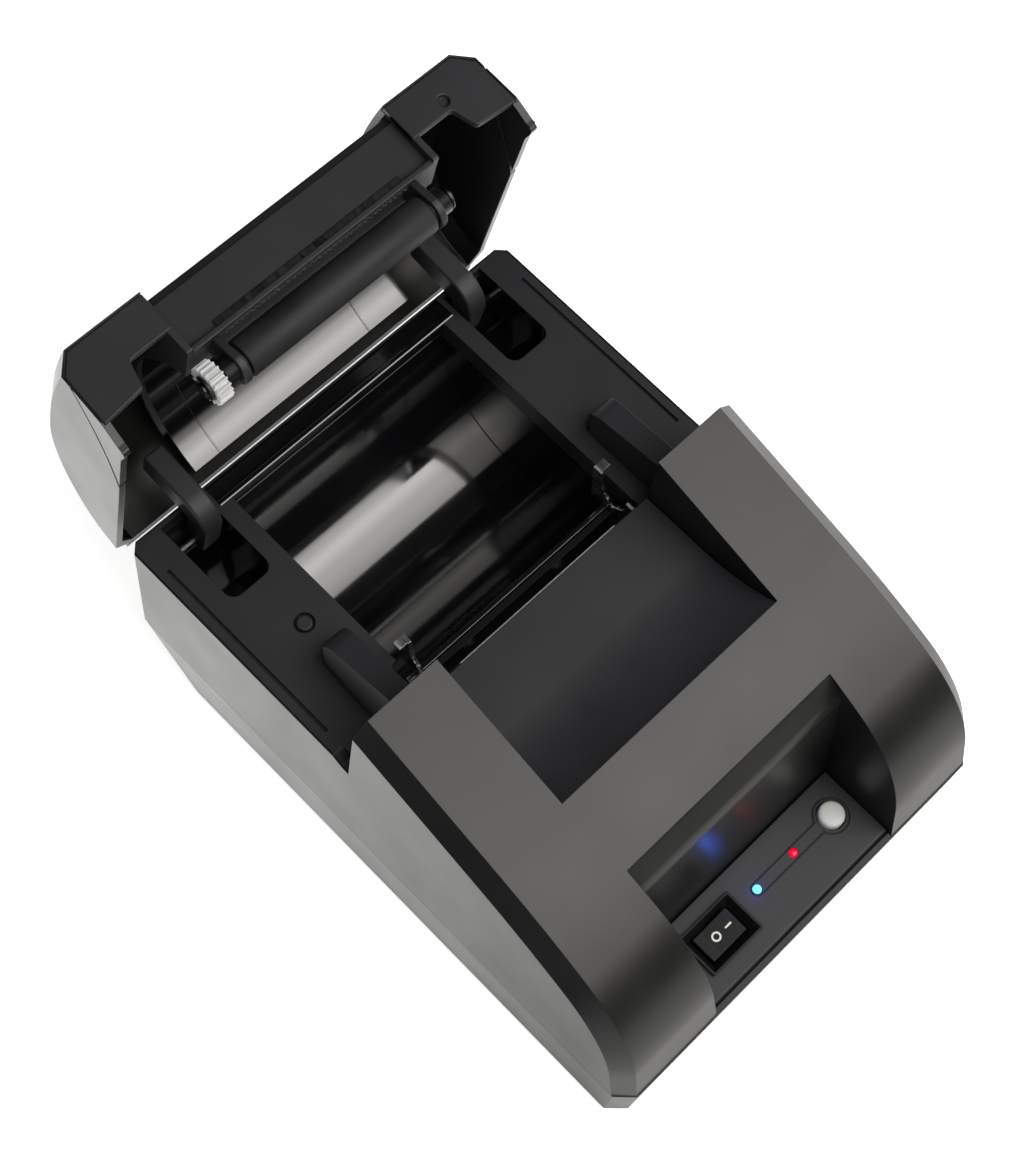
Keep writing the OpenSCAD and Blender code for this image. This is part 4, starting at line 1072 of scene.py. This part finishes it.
def lid_crown(inset=0.0, low=None, ahead=0.0):
    """Crown line of the lid; ahead carries it on beyond the front face."""
    low = rim_z if low is None else low
    brow_c = Vector((roll_y, lid_z - brow_r))
    tail_c = brow_c + (brow_r - tail_r) * Vector(
        (math.sin(math.radians(brow_slope)), math.cos(math.radians(brow_slope)))
    )
    crest = arc((roll_y, lid_z - crest_r), crest_r - inset, 90 + crest_slope, 90, 8)
    brow = arc(brow_c, brow_r - inset, 90, 90 - brow_slope, 16)
    tail = arc(tail_c, tail_r - inset, 90 - brow_slope, 90 - tail_slope, 10)
    end_y = tail[-1][0] + (tail[-1][1] - low) / math.tan(math.radians(tail_slope))
    if ahead:
        back = crest[0][0] - lid_front_y + ahead
        crest[0] = (lid_front_y - ahead, crest[0][1] - back * math.tan(math.radians(crest_slope)))
    return crest + brow[1:] + tail[1:] + [(end_y, low)]


def lid_body(inset=0.0, low=None, ahead=0.0):
    """The lid's outer form; its crown starts at the vertical front face and ends at the rim."""
    low = rim_z if low is None else low
    crown = lid_crown(inset, low, ahead)
    return crowned(crown, [(crown[0][0], low)], inset, upright_end="front")


def scoop(drop):
    """Tool above the shallow scoop in the middle of the lid."""
    start = shell_z - 2.8 - drop
    outline = [
        (lid_front_y - 1, start),
        (34, lid_z - drop - 0.3),
        (34, lid_z + 20),
        (lid_front_y - 1, lid_z + 20),
    ]
    return prism(outline, "x", -inlay_half, inlay_half)


def split_line(lift):
    """Curved split on the lid's side from its front face down to the rim, as (y, z) points."""
    centre = (lid_front_y + 50.7, rim_z + 66.2 + lift)
    return arc(centre, 70.0, 252, 222.5, 14)


def below_split(lift, x0):
    """Tool for the area below the split line on the right side."""
    curve = split_line(lift)
    outline = curve + [(lid_front_y - 2, rim_z - 5), (curve[0][0], rim_z - 5)]
    return prism(outline, "x", x0, half_w + 2)


def build_lid_cover():
    cover = lid_body()
    room = lid_body(lid_wall, rim_z - 3)
    cut(room, scoop(lid_wall))
    cut(cover, room)
    cut(cover, scoop(0))
    face = lid_body(0.5, rim_z - 3, 1.0)
    keep(face, block((-half_w, lid_front_y - 1, 0), (half_w, lid_front_y + lid_wall, lid_z + 5)))
    cut(cover, face)
    cut(cover, block((-inlay_half, lid_front_y - 2, 0), (inlay_half, lid_front_y + 3.1, lid_z + 5)))
    cut(cover, *mirrored(below_split, 0.0, half_w - 10))
    # Painted shade: the lip along the rear rim is a dark strip over the gap behind the case, where
    # the floor lies in shade under the open lid.
    lip_half = half_w - bevel - 1
    lip_low = (-lip_half, lid_high.y - 1.5, rim_z)
    lip_high = (lip_half, lid_high.y + 2.2, rim_z + 1.2)
    add(cover, block(lip_low, lip_high))
    round_edges(cover, 0.3)
    open_lid(cover)
    return place(cover, "lid_cover_shell", "lid", case_black, "case", "lid_cover")


notch_z = 73.3
notch_x = 49.9
notch_out = 51.9
wing_low_z = 66.0
panel_y = lid_front_y + 2.6
ledge_z = 66.0
ledge_rear_y = 20.6
cheek_in = 38.2
platen_axis = (12.0, 59.3)


def wing_face(grow=0.0):
    """Flat dark face of one wing with the notch that passes over the ramp."""
    outline = rounded(
        [
            (inlay_half, notch_z, 0.5),
            (notch_x, notch_z, 1.2),
            (notch_out, wing_low_z + 0.5, 1.2),
            (half_w, wing_low_z - 1, 0),
            (half_w, shell_z + 8, 0),
            (inlay_half, shell_z + 8, 0),
        ]
    )
    face = prism(outline, "y", lid_front_y - grow, lid_front_y + lid_wall + grow)
    keep(face, lid_body(0.55 - grow, rim_z - 2, 1.0))
    return face


def side_strip():
    """Strip of the frame that fills the side of the lid below the split line."""
    strip = lid_body(0.0)
    keep(strip, below_split(-0.8, half_w - 6))
    cut(strip, lid_body(lid_wall, rim_z - 3, 3.0))
    cut(strip, wing_face(0.05))
    corner = rounded(
        [
            (lid_front_y - 3, rim_z - 5, 0),
            (lid_front_y + 3.4, rim_z - 5, 0),
            (lid_front_y + 2.6, rim_z + 1.2, 1.5),
            (lid_front_y, wing_low_z, 5),
            (lid_front_y - 1, wing_low_z + 5, 0),
            (lid_front_y - 3, wing_low_z + 5, 0),
        ]
    )
    cut(strip, prism(corner, "x", 0, half_w + 3))
    tooth_y = lid_front_y + 2.8
    tooth = rounded(
        [
            (tooth_y, rim_z + 1.2, 0),
            (tooth_y + 0.7, rim_z - 0.95, 0.9),
            (tooth_y + 2.6, rim_z - 0.9, 2.0),
            (tooth_y + 6, rim_z, 6),
            (tooth_y + 12, rim_z - 0.02, 0),
            (tooth_y + 12, rim_z + 0.5, 0),
        ]
    )
    return add(strip, prism(tooth, "x", half_at(rim_z) - lid_wall, half_at(rim_z) - 0.03))


def arm():
    """Hooked arm that carries the lid on its hinge pin."""
    y, z = hinge[1], hinge[2]
    eye = 3.8
    rise = 20
    front = y - 18.5
    width = 8.0
    outline = rounded(
        [
            (y + eye, z - eye, eye - 0.1),
            (y + eye, z + eye, eye - 0.1),
            (front + width, z + eye, 1.0),
            (front + width, z + rise, 0),
            (front, z + rise, 0),
            (front, z - eye, width + 1),
        ],
        12,
    )
    return prism(outline, "x", 43.0, 49.0)


def cheek():
    """Inner wall of the wing, running back beside the liner."""
    low = rim_z + 2.5
    wall_outline = rounded(
        [
            (lid_front_y + 0.2, notch_z - 7.0, 0.6),
            (ledge_rear_y, ledge_z, 0),
            (22, low, 1.0),
            (76, low, 4),
            (66, 78, 10),
            (46, lid_z - 4.6, 20),
            (lid_front_y + 0.2, shell_z - 3.2, 0),
        ]
    )
    side = prism(wall_outline, "x", cheek_in - 0.8, cheek_in + 0.9)
    return cut(side, prism(circle((roll_y, roll_z), roll_r - 0.4, 96), "x", 0, half_w))


def bracket():
    """Ear that holds one end of the platen."""
    y, z = platen_axis
    ear_r = 5.1
    bore_r = 3.56
    top = ledge_z + 0.4
    outline = [(y - 3.4, top)] + arc((y, z), ear_r, 180, 360, 28) + [(y + ear_r, top)]
    ear = prism(outline, "x", 29.8, 31.8)
    return cut(ear, prism(circle((y, z), bore_r), "x", 29, 33))


def build_lid_frame():
    spot = (50.0, 76.3)
    dimple = prism(circle(spot, 1.5, 32), "y", lid_front_y - 1, lid_front_y + 1.1)
    for piece, side in zip(mirrored(wing_face), ("right", "left")):
        if side == "right":
            cut(piece, dimple)
        round_edges(piece, 0.4, 4)
        place(open_lid(piece), "lid_wing_" + side, "lid", case_dark, "dark", "lid_frame")
    for builder, name, soft in (
        (side_strip, "lid_side_strip_", 0.25),
        (arm, "lid_arm_", 0.7),
        (cheek, "lid_cheek_", 0.3),
        (bracket, "platen_ear_", 0.25),
    ):
        material = case_black if builder is side_strip else case_dark
        for piece, side in zip(mirrored(builder), ("right", "left")):
            round_edges(piece, soft, 3)
            place(open_lid(piece), name + side, "lid", material, "dark")
    half = cheek_in - 0.7
    sheet_t = 1.8
    ledge_t = 1.6
    panel = block((-half, panel_y, ledge_z), (half, panel_y + sheet_t, shell_z - 3.6))
    add(panel, block((-half, panel_y - ledge_t, ledge_z), (half, ledge_rear_y, ledge_z + ledge_t)))
    round_edges(panel, 0.35, 4)
    place(open_lid(panel), "lid_centre_panel", "lid", case_dark, "dark")


def build_liner():
    """Glossy trough inside the lid, with two thin ribs across it."""
    front, rear = 147.0, 17.5
    thick = 1.5

    def sheet(inner_r, outer_r, x0, x1):
        inner = arc((roll_y, roll_z), inner_r, front, rear, 60)
        outer = arc((roll_y, roll_z), outer_r, rear, front, 60)
        return prism(inner + outer, "x", x0, x1)

    half = cheek_in - 0.85
    liner = sheet(roll_r, roll_r + thick, -half, half)
    smooth(liner)
    place(open_lid(liner), "lid_liner_sheet", "lid", gloss_black, "gloss", "lid_liner")
    for i, x in enumerate((-0.78 * half, 0.62 * half)):
        rib = sheet(roll_r - 0.22, roll_r + 0.2, x - 0.2, x + 0.2)
        smooth(rib)
        place(open_lid(rib), f"lid_liner_rib_{i}", "lid", gloss_black, "gloss")


# ---------- platen ----------


def build_platen():
    low, high = box_mm("platen_rubber")
    r = (high.y - low.y) / 2
    half = (high.x - low.x) / 2
    profile = [(2.0, -half), (r - 0.7, -half), (r - 0.25, -half + 0.12), (r, -half + 0.5)]
    profile += [(a, -b) for a, b in reversed(profile)]
    roller = lathe(profile, "roller", 96)
    roller.data.transform(
        Matrix.Translation(platen_mid * MM) @ Matrix.Rotation(math.radians(90), 4, "Y")
    )
    smooth(roller, 40)
    place(roller, "platen_roller", "platen", platen_black, "rubber", "platen_rubber")


# ---------- carried-over CAD nodes ----------

finishes = (
    (board_green, ["panel_board", "main_board"]),
    (steel, ["latch_plate_left", "latch_plate_right", "head_springs", "stepper_motor"]),
    (steel, ["motor_pinion", "gear_posts", "usb_port"]),
    (steel, ["case_screws", "board_screws", "chassis_screws"]),
    (dark_steel, ["tear_bar", "hinge_pins", "platen_shaft", "retaining_clips"]),
    (aluminium, ["heat_sink"]),
    (white_nylon, ["platen_gear", "idler_gear_front", "idler_gear_rear", "head_cable"]),
    (ceramic, ["thermal_head"]),
    (switch_black, ["feed_switch", "lid_sensor_switch", "head_chassis", "paper_sensor"]),
    (switch_black, ["platen_bushing_left", "platen_bushing_right"]),
    (switch_black, ["control_chip", "capacitors", "dc_jack", "drawer_port"]),
    (foot_black, ["rubber_feet"]),
)


def dress_nodes():
    """Gives each CAD node that stays its material and softly rounded edges."""
    for material, names in finishes:
        for name in names:
            obj = frame["nodes"][name]
            obj.data.materials.clear()
            obj.data.materials.append(material)
            weld = obj.modifiers.new("weld", "WELD")
            weld.merge_threshold = 0.005 * MM
            edges = obj.modifiers.new("edges", "BEVEL")
            edges.width = 0.12 * MM
            edges.segments = 2
            edges.limit_method = "ANGLE"
            edges.angle_limit = math.radians(35)


# ---------- studio ----------


def flat_sheet(name, corners):
    """Sheet of the studio, in metres, that is no part of the printer."""
    mesh = bpy.data.meshes.new(name)
    mesh.from_pydata(corners, [], [(0, 1, 2, 3)])
    sheet = bpy.data.objects.new(name, mesh)
    scene.collection.objects.link(sheet)
    return sheet


def emitter(name, corners, colour, power, profile):
    """Softbox: a glowing sheet whose brightness follows a profile from its rear to its front edge."""
    sheet = flat_sheet(name, corners)
    layer = sheet.data.uv_layers.new(name="sheet")
    for loop, uv in zip(layer.data, ((0, 0), (1, 0), (1, 1), (0, 1))):
        loop.uv = uv
    material = bpy.data.materials.new(name)
    material.use_nodes = True
    nodes = material.node_tree.nodes
    link = material.node_tree.links.new
    nodes.clear()
    coords = nodes.new("ShaderNodeTexCoord")
    split = nodes.new("ShaderNodeSeparateXYZ")
    ramp = nodes.new("ShaderNodeValToRGB")
    ramp.color_ramp.interpolation = "EASE"
    stops = ramp.color_ramp.elements
    while len(stops) < len(profile):
        stops.new(0.5)
    for stop, (position, value) in zip(stops, profile):
        stop.position = position
        stop.color = (value, value, value, 1)
    glow = nodes.new("ShaderNodeEmission")
    glow.inputs["Color"].default_value = (*colour, 1)
    scale = nodes.new("ShaderNodeMath")
    scale.operation = "MULTIPLY"
    scale.inputs[1].default_value = power
    out = nodes.new("ShaderNodeOutputMaterial")
    link(coords.outputs["UV"], split.inputs["Vector"])
    link(split.outputs["Y"], ramp.inputs["Fac"])
    link(ramp.outputs["Color"], scale.inputs[0])
    link(scale.outputs["Value"], glow.inputs["Strength"])
    link(glow.outputs["Emission"], out.inputs["Surface"])
    sheet.data.materials.append(material)
    sheet.visible_camera = False


def build_floor():
    size = 3.0
    corners = [(-size, -size, 0), (size, -size, 0), (size, size, 0), (-size, size, 0)]
    flat_sheet("floor", corners).data.materials.append(floor_paper())


def floor_paper():
    """White paper, lit from below like a light table, brighter towards the rear."""
    shader = Shader("floor_paper")
    shader.set(Base_Color=(0.85, 0.85, 0.85, 1), Roughness=0.9, Specular_IOR_Level=0.1)
    shader.set(Emission_Color=(1, 0.99, 0.97, 1))
    path = shader.node("ShaderNodeLightPath")
    seen = shader.node("ShaderNodeMix")
    seen.inputs["B"].default_value = 0.75
    shader.link(path.outputs["Is Camera Ray"], seen.inputs["Factor"])
    split = shader.node("ShaderNodeSeparateXYZ")
    shader.link(shader.coords, split.inputs["Vector"])
    reach = (1.4 * front_y * MM, 0.8 * rear_y * MM)
    shader.link(shader.carry(split.outputs["Y"], reach, (0.04, 1.5)), seen.inputs["A"])
    shader.feed(seen.outputs["Result"], "Emission Strength")
    return shader.material


def build_world():
    """Pale to the camera, dim to everything else, so that dark plastic keeps its contrast."""
    world = bpy.data.worlds.new("studio")
    scene.world = world
    world.use_nodes = True
    tree = world.node_tree
    tree.nodes.clear()
    path = tree.nodes.new("ShaderNodeLightPath")

    def background(colour, strength):
        made = tree.nodes.new("ShaderNodeBackground")
        made.inputs["Color"].default_value = (*colour, 1)
        made.inputs["Strength"].default_value = strength
        return made.outputs["Background"]

    def choose(ray, other, own):
        """The light own for one kind of ray, the light other for the rest."""
        made = tree.nodes.new("ShaderNodeMixShader")
        tree.links.new(path.outputs[ray], made.inputs["Fac"])
        tree.links.new(other, made.inputs[1])
        tree.links.new(own, made.inputs[2])
        return made.outputs["Shader"]

    dim = background((0.9, 0.95, 1.0), 0.35)
    dark = background((0.8, 0.8, 0.8), 0.03)
    pale = background((0.99, 0.99, 0.99), 1.0)
    light = choose("Is Camera Ray", choose("Is Glossy Ray", dim, dark), pale)
    out = tree.nodes.new("ShaderNodeOutputWorld")
    tree.links.new(light, out.inputs["Surface"])


def build_studio():
    build_floor()
    build_world()
    left, right = -0.2, 0.62
    rear, front = (0.01, 0.64), (-0.85, 0.2)
    emitter(
        "softbox",
        [(left, *rear), (right, *rear), (right, *front), (left, *front)],
        (1.0, 0.975, 0.93),
        4.2,
        ((0.0, 0.5), (0.22, 0.7), (0.38, 1.0), (0.5, 0.7), (0.62, 0.25), (0.75, 0.0)),
    )
    glows = ((blue, (0.06, 0.1, 1.0), 0.0008), (red, (1.0, 0.0, 0.02), 0.00003))
    for spot, colour, power in glows:
        glow = bpy.data.lights.new("lamp_glow", "POINT")
        glow.color = colour
        glow.energy = power
        glow.shadow_soft_size = 2.5 * MM
        holder = bpy.data.objects.new("lamp_glow", glow)
        holder.location = Vector((spot.x, spot.y, panel_z + 3.0)) * MM
        scene.collection.objects.link(holder)


def build_camera():
    """Camera of the photograph: distance and angles fitted to the object's own corners."""
    stand = (-0.1797, -0.1094, 0.5606)
    azimuth, elevation, roll = (math.radians(a) for a in (-55.05, 66.67, 11.2))
    back = Vector(
        (
            math.sin(azimuth) * math.cos(elevation),
            -math.cos(azimuth) * math.cos(elevation),
            math.sin(elevation),
        )
    )
    right = Vector((math.cos(azimuth), math.sin(azimuth), 0))
    up = back.cross(right)
    side = right * math.cos(roll) + up * math.sin(roll)
    head = up * math.cos(roll) - right * math.sin(roll)
    data = bpy.data.cameras.new("camera")
    data.sensor_fit = "HORIZONTAL"
    data.lens = 77.95
    data.clip_start = 0.01
    camera = bpy.data.objects.new("camera", data)
    turn = Matrix((side, head, back)).transposed()
    camera.matrix_world = Matrix.Translation(stand) @ turn.to_4x4()
    scene.collection.objects.link(camera)
    scene.camera = camera


build_upper_case()
build_base_tray()
build_head_cover()
build_deck()
build_plunger()
build_tub()
build_control_panel()
build_button()
build_lamp(blue, "lamp_lens_power", lamp_blue, "lamp_blue", "power_led")
build_lamp(red, "lamp_lens_status", lamp_red, "lamp_red", "status_led")
build_switch()
build_rocker()
build_lid_cover()
build_lid_frame()
build_liner()
build_platen()
dress_nodes()
build_studio()
build_camera()
scene.view_settings.view_transform = "Standard"
